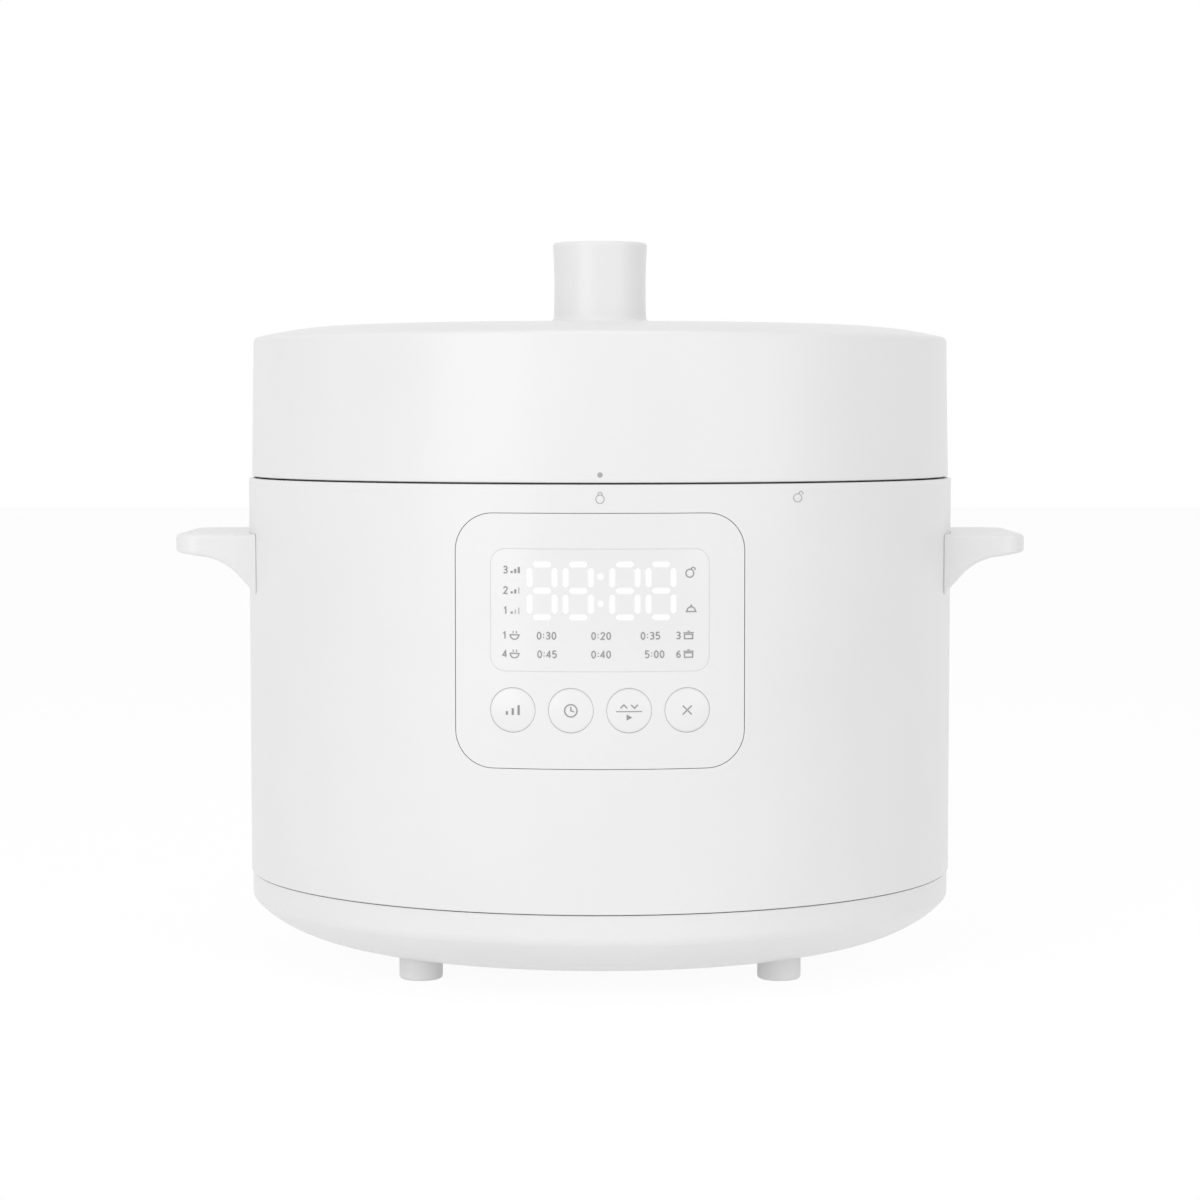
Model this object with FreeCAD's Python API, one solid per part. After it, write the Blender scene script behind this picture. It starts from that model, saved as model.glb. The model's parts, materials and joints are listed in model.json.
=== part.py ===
"""Electric pressure cooker with a twist-lock lid: one STEP file per piece, in millimetres.

The origin is on the ground under the cooker's axis, +Z is up and the control panel faces -Y.
"""

import FreeCAD, Part
import math
import os
from FreeCAD import Vector

# Small allowances: how far a cut runs past a face, and how close counts as the same place
OVERSHOOT = 1.0
NEAR = 0.05

# Straight runs in one turn of a coil spring
COIL_STEPS = 24

# Envelope: the body's radius, then heights from the ground up
HOUSING_RADIUS = 138.0
FOOT_HEIGHT = 8.5
BASE_HEIGHT = 26.0
HOUSING_HEIGHT = 153.8
LID_WALL_HEIGHT = 53.9
KNOB_HEIGHT = 31.6

BASE_SEAM_Z = FOOT_HEIGHT + BASE_HEIGHT
LID_SEAM_Z = BASE_SEAM_Z + HOUSING_HEIGHT
LID_RIM_Z = LID_SEAM_Z + LID_WALL_HEIGHT

# Lid cover: a drafted wall under a dome of two round arcs, the flat crown and the rounder shoulder
LID_STEP = 1.2
LID_DRAFT = 0.9
LID_WALL = 2.4
SHOULDER_WIDTH = 30.9
CROWN_DEG = 1.85
SHOULDER_ROUND = 140.0
LID_RADIUS = HOUSING_RADIUS - LID_STEP
LID_TOP_RADIUS = LID_RADIUS - LID_DRAFT
CROWN_REACH = LID_TOP_RADIUS - SHOULDER_WIDTH
CROWN_ANGLE = math.radians(CROWN_DEG)
CROWN_ROUND = CROWN_REACH / math.sin(CROWN_ANGLE)
RIM_ANGLE = math.asin(math.sin(CROWN_ANGLE) + (LID_TOP_RADIUS - CROWN_REACH) / SHOULDER_ROUND)
CROWN_DROP = CROWN_ROUND * (1 - math.cos(CROWN_ANGLE))
SHOULDER_DROP = SHOULDER_ROUND * (math.cos(CROWN_ANGLE) - math.cos(RIM_ANGLE))
DOME_TOP_Z = LID_RIM_Z + CROWN_DROP + SHOULDER_DROP
KNOB_TOP_Z = DOME_TOP_Z + KNOB_HEIGHT

# Housing wall, a slightly drafted cylinder
HOUSING_DRAFT = 0.3
HOUSING_WALL = 2.4
HOUSING_EDGE_ROUND = 0.8
LID_GAP = 0.6
BASE_GAP = 0.5
SEAT_GAP = 0.1
HOUSING_LOW_Z = BASE_SEAM_Z + BASE_GAP / 2
HOUSING_HIGH_Z = LID_SEAM_Z - LID_GAP / 2

# Bottom pan: a short wall, then a bowl that runs into a flat floor
BASE_STEP = 0.8
BASE_WALL_HEIGHT = 10.0
BASE_WALL = 2.4
BOWL_WIDTH = 40.8
BOWL_START_DEG = 30.7
BOWL_EDGE_ROUND = 4.0
SPIGOT_HEIGHT = 4.5
SPIGOT_WALL = 2.0
SPIGOT_CLEARANCE = 0.3
BASE_RADIUS = HOUSING_RADIUS - BASE_STEP
BASE_FLAT_RADIUS = BASE_RADIUS - BOWL_WIDTH
BASE_HIGH_Z = BASE_SEAM_Z - BASE_GAP / 2
BASE_FLOOR_Z = FOOT_HEIGHT + BASE_WALL

# Self-tapping screws
SCREW_RADIUS = 1.6
SCREW_FIT = 0.05
SCREW_PASS = 0.4
SCREW_TIP_GAP = 1.0
SCREW_HEAD_RADIUS = 3.4
SCREW_HEAD_HEIGHT = 2.2

# Bosses that the base is screwed to, round the back half so that no screw hole shows from the front
BOSS_INSET = 12.0
BOSS_RADIUS = 5.0
BOSS_HEIGHT = 18.0
BOSS_ANGLES = (5.0, 60.0, 120.0, 175.0)
BOSS_RIB = 4.0
BASE_POST_RADIUS = 6.0
BASE_POST_ROOF = 3.0
COUNTERBORE_CLEARANCE = 0.6
BOSS_CIRCLE = HOUSING_RADIUS - BOSS_INSET

# Feet
FOOT_INSET = 0.8
FOOT_RADIUS = 8.2
FOOT_ROUND = 1.4
FOOT_ANGLES = (45.0, 135.0, 225.0, 315.0)
FOOT_NECK_RADIUS = 3.9
FOOT_HEAD_RADIUS = 5.0
FOOT_HEAD_HEIGHT = 1.6
FOOT_HEAD_GAP = 0.3
FOOT_FIT = 0.2
FOOT_CIRCLE = BASE_FLAT_RADIUS - FOOT_INSET

# Floor vents under the front half
VENT_COUNT = 9
VENT_WIDTH = 3.0
VENT_INNER = 40.0
VENT_OUTER = 70.0
VENT_SWEEP_DEG = 160.0

# Cooking pot, its jacket and the bayonet ring
JACKET_SPACE = 29.6
POT_WALL = 1.6
POT_FLOOR = 2.4
POT_CORNER = 14.0
POT_FLANGE = 6.2
POT_RIM_ROUND = 0.7
POT_CLEARANCE = 1.9
JACKET_WALL = 1.5
JACKET_FLOOR = 1.2
JACKET_CORNER = 8.0
JACKET_DROP = 7.0
JACKET_FLANGE = 16.0
RIM_ABOVE_SEAM = 12.4
JACKET_ABOVE_SEAM = 2.0

POT_RADIUS = HOUSING_RADIUS - HOUSING_WALL - JACKET_SPACE
POT_OUTER = POT_RADIUS + POT_WALL
JACKET_INNER = POT_OUTER + POT_CLEARANCE
JACKET_OUTER = JACKET_INNER + JACKET_WALL
POT_RIM_Z = LID_SEAM_Z + RIM_ABOVE_SEAM
JACKET_LOW_Z = BASE_SEAM_Z + JACKET_ABOVE_SEAM
JACKET_FLOOR_Z = JACKET_LOW_Z + JACKET_FLOOR
JACKET_TOP_Z = POT_RIM_Z - JACKET_DROP

# Twist lock: teeth on the ring, lugs on the lid, and the turn between locked and open
TOOTH_COUNT = 6
TOOTH_DEG = 24.0
TOOTH_THICK = 3.2
TOOTH_DEPTH = 5.2
TOOTH_ABOVE_RIM = 1.0
LUG_THICK = 3.2
LUG_GAP = 0.4
LUG_SIDE_GAP = 1.2
LID_TURN_DEG = 31.0
RING_WALL = 2.0
RING_BASE = 1.5
RING_FOOT = 1.6

# Lid pan and seal
PAN_ABOVE_RIM = 6.3
PAN_SHEET = 1.5
PAN_SIDE_GAP = 0.8
SEAL_GAP = 0.2
SEAL_LIP = 12.0
SEAL_SIDE_GAP = 0.3
SEAL_GROOVE = 3.0

PAN_INNER = POT_RADIUS + POT_FLANGE + PAN_SIDE_GAP
PAN_OUTER = PAN_INNER + PAN_SHEET
TOOTH_INNER = PAN_OUTER + PAN_SIDE_GAP
RING_INNER = TOOTH_INNER + TOOTH_DEPTH
RING_OUTER = RING_INNER + RING_WALL
TOOTH_LOW_Z = POT_RIM_Z + TOOTH_ABOVE_RIM
LUG_TOP_Z = TOOTH_LOW_Z - LUG_GAP
PAN_LOW_Z = POT_RIM_Z + PAN_ABOVE_RIM
PAN_TOP_Z = PAN_LOW_Z + PAN_SHEET

# Top collar between the housing and the jacket, with a drip trough
COLLAR_WALL = 1.8
COLLAR_RECESS = 0.4
COLLAR_SIDE_GAP = 0.2
LIP_WIDTH = 4.5
LIP_HEIGHT = 2.4
TROUGH_DEPTH = 7.0
TROUGH_WIDTH = 4.6
COLLAR_TOP_Z = HOUSING_HIGH_Z - COLLAR_RECESS

# Heater stack in the jacket
HEATER_INSET = 24.0
HEATER_THICK = 10.5
HEATER_EDGE_ROUND = 2.0
HEATER_LEG = 3.5
HEATER_LEG_RADIUS = 6.0
HEATER_LEG_INSET = 16.0
HEATER_LEG_ANGLES = (90.0, 210.0, 330.0)
HEATER_HOLE = 16.5
SPRING_PLATE_THICK = 1.2
SPRING_PLATE_INNER = 20.0
SPRING_PLATE_INSET = 4.0
ELEMENT_INSET = 32.0
ELEMENT_RADIUS = 4.0
ELEMENT_FIT = 0.15
ELEMENT_GAP_DEG = 26.0
ELEMENT_LEG_RADIUS = 4.4
ELEMENT_LEG_LENGTH = 12.0
ELEMENT_HOLE = 6.0
HEATER_RADIUS = POT_RADIUS - HEATER_INSET
HEATER_LEG_CIRCLE = HEATER_RADIUS - HEATER_LEG_INSET
SPRING_PLATE_OUTER = HEATER_RADIUS - SPRING_PLATE_INSET
ELEMENT_CIRCLE = HEATER_RADIUS - ELEMENT_INSET
HEATER_LOW_Z = JACKET_FLOOR_Z + SPRING_PLATE_THICK + HEATER_LEG
HEATER_TOP_Z = HEATER_LOW_Z + HEATER_THICK
POT_FLOOR_Z = HEATER_TOP_Z + POT_FLOOR
ELEMENT_Z = HEATER_LOW_Z + HEATER_THICK / 2

# Spring-loaded temperature sensor in the middle of the heater
SENSOR_CAP_RADIUS = 15.0
SENSOR_CAP_HEIGHT = 3.0
SENSOR_CAP_ROUND = 0.8
SENSOR_STEM_RADIUS = 9.5
SENSOR_STEM_LENGTH = 15.9
CUP_INNER = 11.6
CUP_WALL = 1.4
CUP_DEPTH = 12.0
CUP_FLANGE = 4.0
CUP_FIT = 0.2
SENSOR_SPRING_RADIUS = 7.5
SENSOR_SPRING_WIRE = 0.5
SENSOR_SPRING_TURNS = 4
SENSOR_STEM_LOW_Z = HEATER_TOP_Z - SENSOR_CAP_HEIGHT - SENSOR_STEM_LENGTH
CUP_LOW_Z = JACKET_LOW_Z - CUP_DEPTH

# Switches under the jacket
PRESSURE_SWITCH_X = -38.0
PRESSURE_SWITCH_Y = -32.0
PRESSURE_SWITCH_SIZE = (22.0, 16.0, 10.0)
PRESSURE_SWITCH_FLANGE = 4.0
PRESSURE_SWITCH_PLATE = 1.0
PLUNGER_RADIUS = 2.0
PLUNGER_FIT = 0.5
FUSE_X = 40.0
FUSE_Y = -42.0
FUSE_RADIUS = 3.0
FUSE_LENGTH = 18.0
FUSE_CLIP = (6.0, 9.0, 1.0)

# Side handles
HANDLE_LENGTH = 25.8
HANDLE_DROP = 21.6
HANDLE_WIDTH = 80.0
HANDLE_TIP_THICK = 7.0
HANDLE_TIP_RUN = 19.4
HANDLE_TIP_DEG = 8.0
HANDLE_ROOT_DEG = 48.0
HANDLE_BEND_ROUND = 22.0
HANDLE_BURY = 12.0
HANDLE_PLAN_ROUND = 10.0
HANDLE_EDGE_ROUND = 1.6
HANDLE_SCREW_SPREAD = 22.0
HANDLE_SCREW_DROP = 5.2
HANDLE_SCREW_LENGTH = 13.0
HANDLE_REACH = HOUSING_RADIUS + HANDLE_LENGTH
HANDLE_TOP_Z = LID_SEAM_Z - HANDLE_DROP

# Mains inlet at the back
INLET_WIDTH = 32.0
INLET_HEIGHT = 26.0
INLET_ROUND = 3.0
INLET_ABOVE_SEAM = 23.5
INLET_FIT = 0.2
INLET_FLANGE = 3.0
INLET_FLANGE_THICK = 2.0
SOCKET_WIDTH = 24.4
SOCKET_HEIGHT = 16.6
SOCKET_CHAMFER = 4.5
SOCKET_DEPTH = 16.5
SOCKET_WALL = 2.0
SOCKET_FLOOR = 2.6
PIN_WIDTH = 2.0
PIN_HEIGHT = 4.0
PIN_SPREAD = 7.0
PIN_EARTH_RISE = 4.0
PIN_RECESS = 5.0
PIN_TAIL = 4.5
PIN_FIT = 0.1
INLET_Z = BASE_SEAM_Z + INLET_ABOVE_SEAM

# Power board on the base floor
BOARD_WIDTH = 92.0
BOARD_DEPTH = 58.0
BOARD_THICK = 1.6
BOARD_BACK_SPACE = 53.0
BOARD_STANDOFF = 5.0
BOARD_STANDOFF_RADIUS = 3.2
BOARD_HOLE_INSET = 5.0
BOARD_CENTRE_Y = HOUSING_RADIUS - BOARD_BACK_SPACE - BOARD_DEPTH / 2
BOARD_Z = BASE_FLOOR_Z + BOARD_STANDOFF
BOARD_TOP_Z = BOARD_Z + BOARD_THICK
SMALL_SCREW_RADIUS = 1.0
SMALL_HEAD_RADIUS = 2.2
SMALL_HEAD_HEIGHT = 1.6
SMALL_SCREW_LENGTH = 6.0

# Components on the power board: place across and along it, then width, depth and height
TERMINAL_PLACE = (0.0, -19.0)
TERMINAL_SIZE = (34.0, 9.0, 10.0)
TRANSFORMER_PLACE = (-22.0, 2.0)
TRANSFORMER_CORE = (20.0, 24.0, 14.0)
TRANSFORMER_WINDING = (26.0, 16.0, 11.0)
RELAY_PLACE = (6.0, 6.0)
RELAY_SIZE = (16.0, 20.0, 14.0)
RELAY_ROUND = 0.8
FILM_CAPACITOR_PLACE = (27.0, 14.0)
FILM_CAPACITOR_SIZE = (12.0, 6.0, 11.0)
CAN_X = 26.0
CAN_SPREAD = (-12.0, 0.0)
CAN_RADIUS = 4.5
CAN_HEIGHT = 13.0

# Control panel, a curved insert flush with the housing
PANEL_WIDTH = 103.6
PANEL_HEIGHT = 91.3
PANEL_ROUND = 13.6
PANEL_DROP = 10.3
PANEL_FIT = 0.25
PANEL_FLANGE = 4.0
PANEL_FLANGE_THICK = 1.6
PANEL_CENTRE_Z = LID_SEAM_Z - PANEL_DROP - PANEL_HEIGHT / 2
PANEL_DEPTH = HOUSING_WALL + SEAT_GAP + PANEL_FLANGE_THICK
PANEL_BOSS_RADIUS = 3.2
PANEL_BOSS_INSET = 6.0

# Display window, set in the panel
WINDOW_WIDTH = 78.0
WINDOW_HEIGHT = 43.7
WINDOW_ROUND = 5.2
WINDOW_DROP = 12.7
WINDOW_FIT = 0.15
WINDOW_FLANGE = 2.0
WINDOW_FLANGE_THICK = 1.2
WINDOW_CENTRE_Z = PANEL_CENTRE_Z + PANEL_HEIGHT / 2 - WINDOW_DROP - WINDOW_HEIGHT / 2

# Display board behind the panel
DISPLAY_BOARD_INSET = 18.5
DISPLAY_BOARD_SIDE_GAP = 1.8
DISPLAY_BOARD_END_GAP = 2.15
DIGIT_WIDTH = 70.0
DIGIT_HEIGHT = 30.0
DIGIT_THICK = 6.6
DIGIT_RISE = 3.0
DIGIT_ROUND = 2.0
DISPLAY_BOARD_Y = DISPLAY_BOARD_INSET - HOUSING_RADIUS
DISPLAY_BOARD_WIDTH = PANEL_WIDTH - 2 * DISPLAY_BOARD_SIDE_GAP
DISPLAY_BOARD_HEIGHT = PANEL_HEIGHT - 2 * DISPLAY_BOARD_END_GAP

# Push buttons
BUTTON_NAMES = ("taste_button", "timer_button", "start_button", "cancel_button")
BUTTON_SPACING = 20.7
BUTTON_RADIUS = 7.9
BUTTON_FIT = 0.2
BUTTON_DROP = 70.2
BUTTON_DOME = 45.0
BUTTON_PROUD = 0.45
BUTTON_TRAVEL = 0.8
BUTTON_FLANGE = 1.5
BUTTON_FLANGE_THICK = 1.2
BUTTON_BACK_GAP = 0.3
BUTTON_NUB_RADIUS = 2.5
SWITCH_SIZE = 6.0
SWITCH_HEIGHT = 3.5
SWITCH_PLUNGER = 1.4
SWITCH_PLUNGER_RADIUS = 1.7
SWITCH_GAP = 0.1
BUTTON_Z = PANEL_CENTRE_Z + PANEL_HEIGHT / 2 - BUTTON_DROP

# Lid edges, knob and inner bosses
LID_EDGE_ROUND = 1.8
LID_FOOT_ROUND = 0.6
KNOB_TOP_RADIUS = 18.6
KNOB_WAIST_RADIUS = 17.95
KNOB_FOOT_RADIUS = 18.3
KNOB_BORE = 15.4
KNOB_EDGE_ROUND = 1.3
KNOB_FOOT_ROUND = 3.0
KNOB_MOUTH = 14.0
KNOB_MOUTH_LIP = 2.5
LEDGE_BORE = 9.8
LEDGE_THICK = 2.0
LID_LOW_Z = LID_SEAM_Z + LID_GAP / 2
LID_BOSS_INSET = 9.4
LID_BOSS_RADIUS = 4.5
LID_BOSS_ANGLES = (0.0, 90.0, 180.0, 270.0)
LID_SCREW_LENGTH = 12.0
LID_BOSS_CIRCLE = LID_TOP_RADIUS - LID_BOSS_INSET

# Lid liner, a plate over the pan
LINER_THICK = 2.0
LINER_SIDE_GAP = 0.3
LINER_HOLE = 12.0
LINER_TOP_Z = PAN_TOP_Z + LINER_THICK
STUD_INSET = 53.0
STUD_RADIUS = 2.0
STUD_ANGLES = (75.0, 195.0, 315.0)
STUD_NUT_FLATS = 7.0
STUD_NUT_HEIGHT = 3.2
STUD_FIT = 0.3
STUD_CIRCLE = PAN_INNER - STUD_INSET

# Exhaust pipe on the axis
PIPE_RADIUS = 5.0
PIPE_BORE = 2.25
PIPE_FLANGE_RADIUS = 9.0
PIPE_FLANGE = 3.4
PIPE_HEIGHT = 21.5
PIPE_FIT = 0.05
PIPE_NUT_FLATS = 16.0
PIPE_NUT_HEIGHT = 4.4
SHIELD_RADIUS = 14.0
SHIELD_WALL = 1.2
SHIELD_HEIGHT = 9.0
SHIELD_SLOTS = 8
SHIELD_SLOT = 2.4
PIPE_TOP_Z = PAN_TOP_Z + PIPE_HEIGHT

# Pressure-limiting weight that rests on the pipe
WEIGHT_RADIUS = 8.5
WEIGHT_HEIGHT = 16.0
WEIGHT_SKIRT = 8.0
WEIGHT_FIT = 0.6
WEIGHT_FLANGE_RADIUS = 11.0
WEIGHT_FLANGE = 2.0
WEIGHT_GAP = 0.3
WEIGHT_ROUND = 1.5
NEEDLE_LENGTH = 3.3
NEEDLE_FIT = 0.25
WEIGHT_LOW_Z = PIPE_TOP_Z - WEIGHT_SKIRT

# Steam release: button in the knob, push rod, and a lever under the weight
VENT_BUTTON_RADIUS = 13.0
VENT_BUTTON_HEIGHT = 4.4
VENT_BUTTON_RECESS = 0.6
VENT_BUTTON_ROUND = 0.8
VENT_STEM_RADIUS = 9.5
VENT_STEM_WALL = 2.0
VENT_STEM_LENGTH = 18.0
VENT_TRAVEL = 3.0
VENT_KEEP_GAP = 0.4
VENT_SPRING_RADIUS = 11.2
VENT_SPRING_WIRE = 0.45
VENT_SPRING_TURNS = 4
ROD_RING_RADIUS = 11.0
ROD_RING_THICK = 2.5
ROD_SPIGOT = 4.0
ROD_SPIGOT_FIT = 0.1
ROD_BORE = 5.0
ROD_LEG_INNER = 12.0
ROD_LEG_THICK = 2.6
ROD_LEG_WIDTH = 6.0
ROD_FOOT_THICK = 2.5
LEVER_PIVOT_X = 14.0
LEVER_PUSH_ARM = 10.0
LEVER_LIFT_ARM = 11.0
LEVER_END = 2.0
LEVER_THICK = 3.0
LEVER_WIDTH = 18.6
LEVER_HUB_RADIUS = 3.0
LEVER_GAP = 0.3
LEVER_SLOT_GAP = 1.3
LEVER_PIN_RADIUS = 1.2
LEVER_PIN_FIT = 0.05
EAR_THICK = 2.4
EAR_GAP = 0.3
EAR_WIDTH = 8.0

VENT_CAP_TOP_Z = KNOB_TOP_Z - VENT_BUTTON_RECESS
VENT_CAP_LOW_Z = VENT_CAP_TOP_Z - VENT_BUTTON_HEIGHT
VENT_STEM_LOW_Z = VENT_CAP_LOW_Z - VENT_STEM_LENGTH
LEDGE_LOW_Z = VENT_STEM_LOW_Z + VENT_KEEP_GAP
LEDGE_TOP_Z = LEDGE_LOW_Z + LEDGE_THICK
LEVER_TOP_Z = WEIGHT_LOW_Z - LEVER_GAP
LEVER_PIVOT_Z = LEVER_TOP_Z - LEVER_THICK / 2
LEVER_PUSH_X = LEVER_PIVOT_X + LEVER_PUSH_ARM
LEVER_LIFT_X = LEVER_PIVOT_X - LEVER_LIFT_ARM
ROD_FOOT_LOW_Z = LEVER_PIVOT_Z + LEVER_HUB_RADIUS + VENT_TRAVEL + LEVER_GAP

# Float valve and the lid interlock
LOCK_DEG = 135.0
FLOAT_INSET = 43.0
FLOAT_RADIUS = 3.4
FLOAT_FIT = 0.1
FLOAT_HEAD_RADIUS = 4.5
FLOAT_HEAD_HEIGHT = 2.6
FLOAT_FOOT_RADIUS = 6.5
FLOAT_FOOT_HEIGHT = 2.5
FLOAT_SEAL_RADIUS = 6.0
FLOAT_SEAL_HEIGHT = 1.4
FLOAT_RISE = 4.5
FLOAT_REST_GAP = 0.1
SEAT_RADIUS = 5.4
SEAT_FLANGE_RADIUS = 8.0
SEAT_FLANGE = 2.4
LOCK_TRAVEL = 3.5
LOCK_BAR_WIDTH = 12.0
LOCK_BAR_THICK = 2.0
LOCK_BAR_TAIL = 14.0
LOCK_BAR_GAP = 1.3
LOCK_HOLE_FIT = 0.5
FINGER_THICK = 2.5
FINGER_WIDTH = 8.0
FINGER_CAM_GAP = 0.5
FINGER_RING_GAP = 2.2
CAM_LEAD_DEG = 4.0
CAM_STEPS = 8
CAM_LOW_GAP = 1.0
GUIDE_INSETS = (29.0, 5.0)
GUIDE_LENGTH = 5.0
GUIDE_WALL = 2.0
GUIDE_FIT = 0.25
LOCK_SPRING_RADIUS = 2.4
LOCK_SPRING_WIRE = 0.4
LOCK_SPRING_TURNS = 5
LOCK_SPRING_LENGTH = 10.5
LOCK_POST = 3.0

FLOAT_CIRCLE = PAN_INNER - FLOAT_INSET
LOCK_BAR_INNER = FLOAT_CIRCLE - LOCK_BAR_TAIL
FLOAT_HEAD_Z = PAN_TOP_Z + SEAT_FLANGE + FLOAT_REST_GAP
FLOAT_SEAL_TOP_Z = PAN_LOW_Z - FLOAT_RISE - FLOAT_REST_GAP
LOCK_BAR_Z = FLOAT_HEAD_Z + FLOAT_HEAD_HEIGHT + LOCK_BAR_GAP
LOCK_BAR_TOP_Z = LOCK_BAR_Z + LOCK_BAR_THICK
FINGER_INNER = RING_OUTER + FINGER_RING_GAP
FINGER_LOW_Z = JACKET_TOP_Z + RING_BASE + CAM_LOW_GAP

# Internal leads
LEAD_RADIUS = 1.3
LEAD_GAP = 0.3
LEAD_CEILING_GAP = 1.2
HEATER_LEAD_DROP = 4.5
PANEL_CABLE_X = 20.0
PANEL_CABLE_OVERLAP = 8.0
PANEL_CABLE_INSET = 2.5

# Places clear of the housing in front and behind, where cuts start
FRONT_Y = -HOUSING_RADIUS - OVERSHOOT
BACK_Y = HOUSING_RADIUS + OVERSHOOT

Z_AXIS = Vector(0, 0, 1)
Y_AXIS = Vector(0, 1, 0)
X_AXIS = Vector(1, 0, 0)
ORIGIN = Vector(0, 0, 0)


# Shape helpers

def polar(radius, degrees, z=0.0):
    """Point at a radius and an angle about the cooker's axis."""
    angle = math.radians(degrees)
    return Vector(radius * math.cos(angle), radius * math.sin(angle), z)


def turned(shape, degrees):
    """Copy of a shape turned about the cooker's axis."""
    copy = shape.copy()
    copy.rotate(ORIGIN, Z_AXIS, degrees)
    return copy


def joined(shapes):
    """One solid from shapes that touch or overlap."""
    first, rest = shapes[0], shapes[1:]
    whole = first.fuse(rest).removeSplitter() if rest else first
    return whole.Solids[0] if len(whole.Solids) == 1 else whole


def group(shapes):
    """Separate solids that share one node."""
    return Part.makeCompound([solid for shape in shapes for solid in shape.Solids])


def rz(radius, z):
    """Point of a profile in the XZ plane."""
    return Vector(radius, 0, z)


def spun(edges):
    """Solid from a closed chain of profile edges, spun about the axis."""
    face = Part.Face(Part.Wire(edges))
    return face.revolve(ORIGIN, Z_AXIS, 360).Solids[0]


def spun_polygon(points):
    """Solid from (radius, z) corners, spun about the axis."""
    corners = [rz(*point) for point in points]
    return spun(Part.makePolygon(corners + corners[:1]).Edges)


def disc(radius, low, high, centre=ORIGIN):
    """Upright cylinder between two heights."""
    return Part.makeCylinder(radius, high - low, Vector(centre.x, centre.y, low))


def tube(outer, inner, low, high, centre=ORIGIN):
    """Upright tube between two heights."""
    return disc(outer, low, high, centre).cut(disc(inner, low, high, centre))


def bar_y(radius, x, z, front, back):
    """Cylinder along Y from front to back."""
    return Part.makeCylinder(radius, back - front, Vector(x, front, z), Y_AXIS)


def bar_x(radius, y, z, left, right):
    """Cylinder along X from left to right."""
    return Part.makeCylinder(radius, right - left, Vector(left, y, z), X_AXIS)


def block(x, y, z):
    """Box from (low, high) pairs along X, Y and Z."""
    size = [high - low for low, high in (x, y, z)]
    return Part.makeBox(*size, Vector(x[0], y[0], z[0]))


def sector(inner, outer, low, high, start, sweep):
    """Part of a ring, from an angle through a sweep in degrees."""
    corners = [rz(inner, low), rz(outer, low), rz(outer, high), rz(inner, high)]
    face = Part.Face(Part.makePolygon(corners + corners[:1]))
    return turned(face.revolve(ORIGIN, Z_AXIS, sweep).Solids[0], start)


def hexagon(flats, low, high, centre=ORIGIN):
    """Upright hexagonal prism of a size across its flats."""
    radius = flats / math.sqrt(3)
    corners = [Vector(centre.x, centre.y, low) + polar(radius, 60 * i) for i in range(6)]
    face = Part.Face(Part.makePolygon(corners + corners[:1]))
    return face.extrude(Vector(0, 0, high - low))


def plate_y(width, height, corner, front, back, z, x=0.0):
    """Rounded rectangle in the XZ plane, extruded along Y."""
    plate = block((x - width / 2, x + width / 2), (front, back), (z - height / 2, z + height / 2))
    edges = [e for e in plate.Edges if abs(e.tangentAt(e.FirstParameter).y) > 0.9]
    return plate.makeFillet(corner, edges)


def circle_edges(shape, radius, z):
    """Full circular edges of a shape about the axis, at a radius and a height."""
    found = []
    for edge in shape.Edges:
        box = edge.BoundBox
        flat = box.ZLength < NEAR and abs(box.ZMin - z) < NEAR
        if flat and abs(box.XMax - radius) < NEAR and abs(box.XMin + radius) < NEAR:
            found.append(edge)
    return found


def coil(radius, wire, turns, low, high):
    """Round-wire compression spring between two heights on the axis, in short straight runs."""
    count = turns * COIL_STEPS
    rise = (high - low - 2 * wire) / count
    points = [polar(radius, 360 * i / COIL_STEPS, low + wire + rise * i) for i in range(count + 1)]
    section = Part.Wire(Part.makeCircle(wire, points[0], points[1] - points[0]))
    mitred = 1
    return Part.makePolygon(points).makePipeShell([section], True, False, mitred).Solids[0]


def bent(points):
    """Wire through points, with each corner a round bend."""
    share = 0.45
    edges, start = [], points[0]
    for before, corner, after in zip(points, points[1:], points[2:]):
        come, leave = corner - before, after - corner
        reach = share * min(come.Length, leave.Length)
        come, leave = come.normalize(), leave.normalize()
        first, last = corner - come * reach, corner + leave * reach
        half = come.getAngle(leave) / 2
        radius = reach / math.tan(half)
        middle = corner + (leave - come).normalize() * (radius / math.cos(half) - radius)
        edges += [Part.makeLine(start, first), Part.Arc(first, middle, last).toShape()]
        start = last
    edges.append(Part.makeLine(start, points[-1]))
    return Part.Wire(edges)


def lead(points):
    """Round insulated lead through points."""
    section = Part.Wire(Part.makeCircle(LEAD_RADIUS, points[0], points[1] - points[0]))
    return bent(points).makePipeShell([section], True, False).Solids[0]


# Housing surface

def wall_radius(z, inset=0.0):
    """Outer radius of the drafted housing at a height, less an inset."""
    return HOUSING_RADIUS - HOUSING_DRAFT * (LID_SEAM_Z - z) / HOUSING_HEIGHT - inset


def wall_core(inset, low=HOUSING_LOW_Z, high=HOUSING_HIGH_Z):
    """Solid cone inside the housing surface by an inset."""
    return Part.makeCone(wall_radius(low, inset), wall_radius(high, inset), high - low, rz(0, low))


def wall_skin(outer_inset, inner_inset):
    """Shell between two insets from the housing surface."""
    return wall_core(outer_inset).cut(wall_core(inner_inset))


def surface_y(x, z, inset=0.0):
    """Distance from the axis plane to the housing surface at a place across the front."""
    return math.sqrt(wall_radius(z, inset) ** 2 - x ** 2)


# Base, feet and housing

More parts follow.
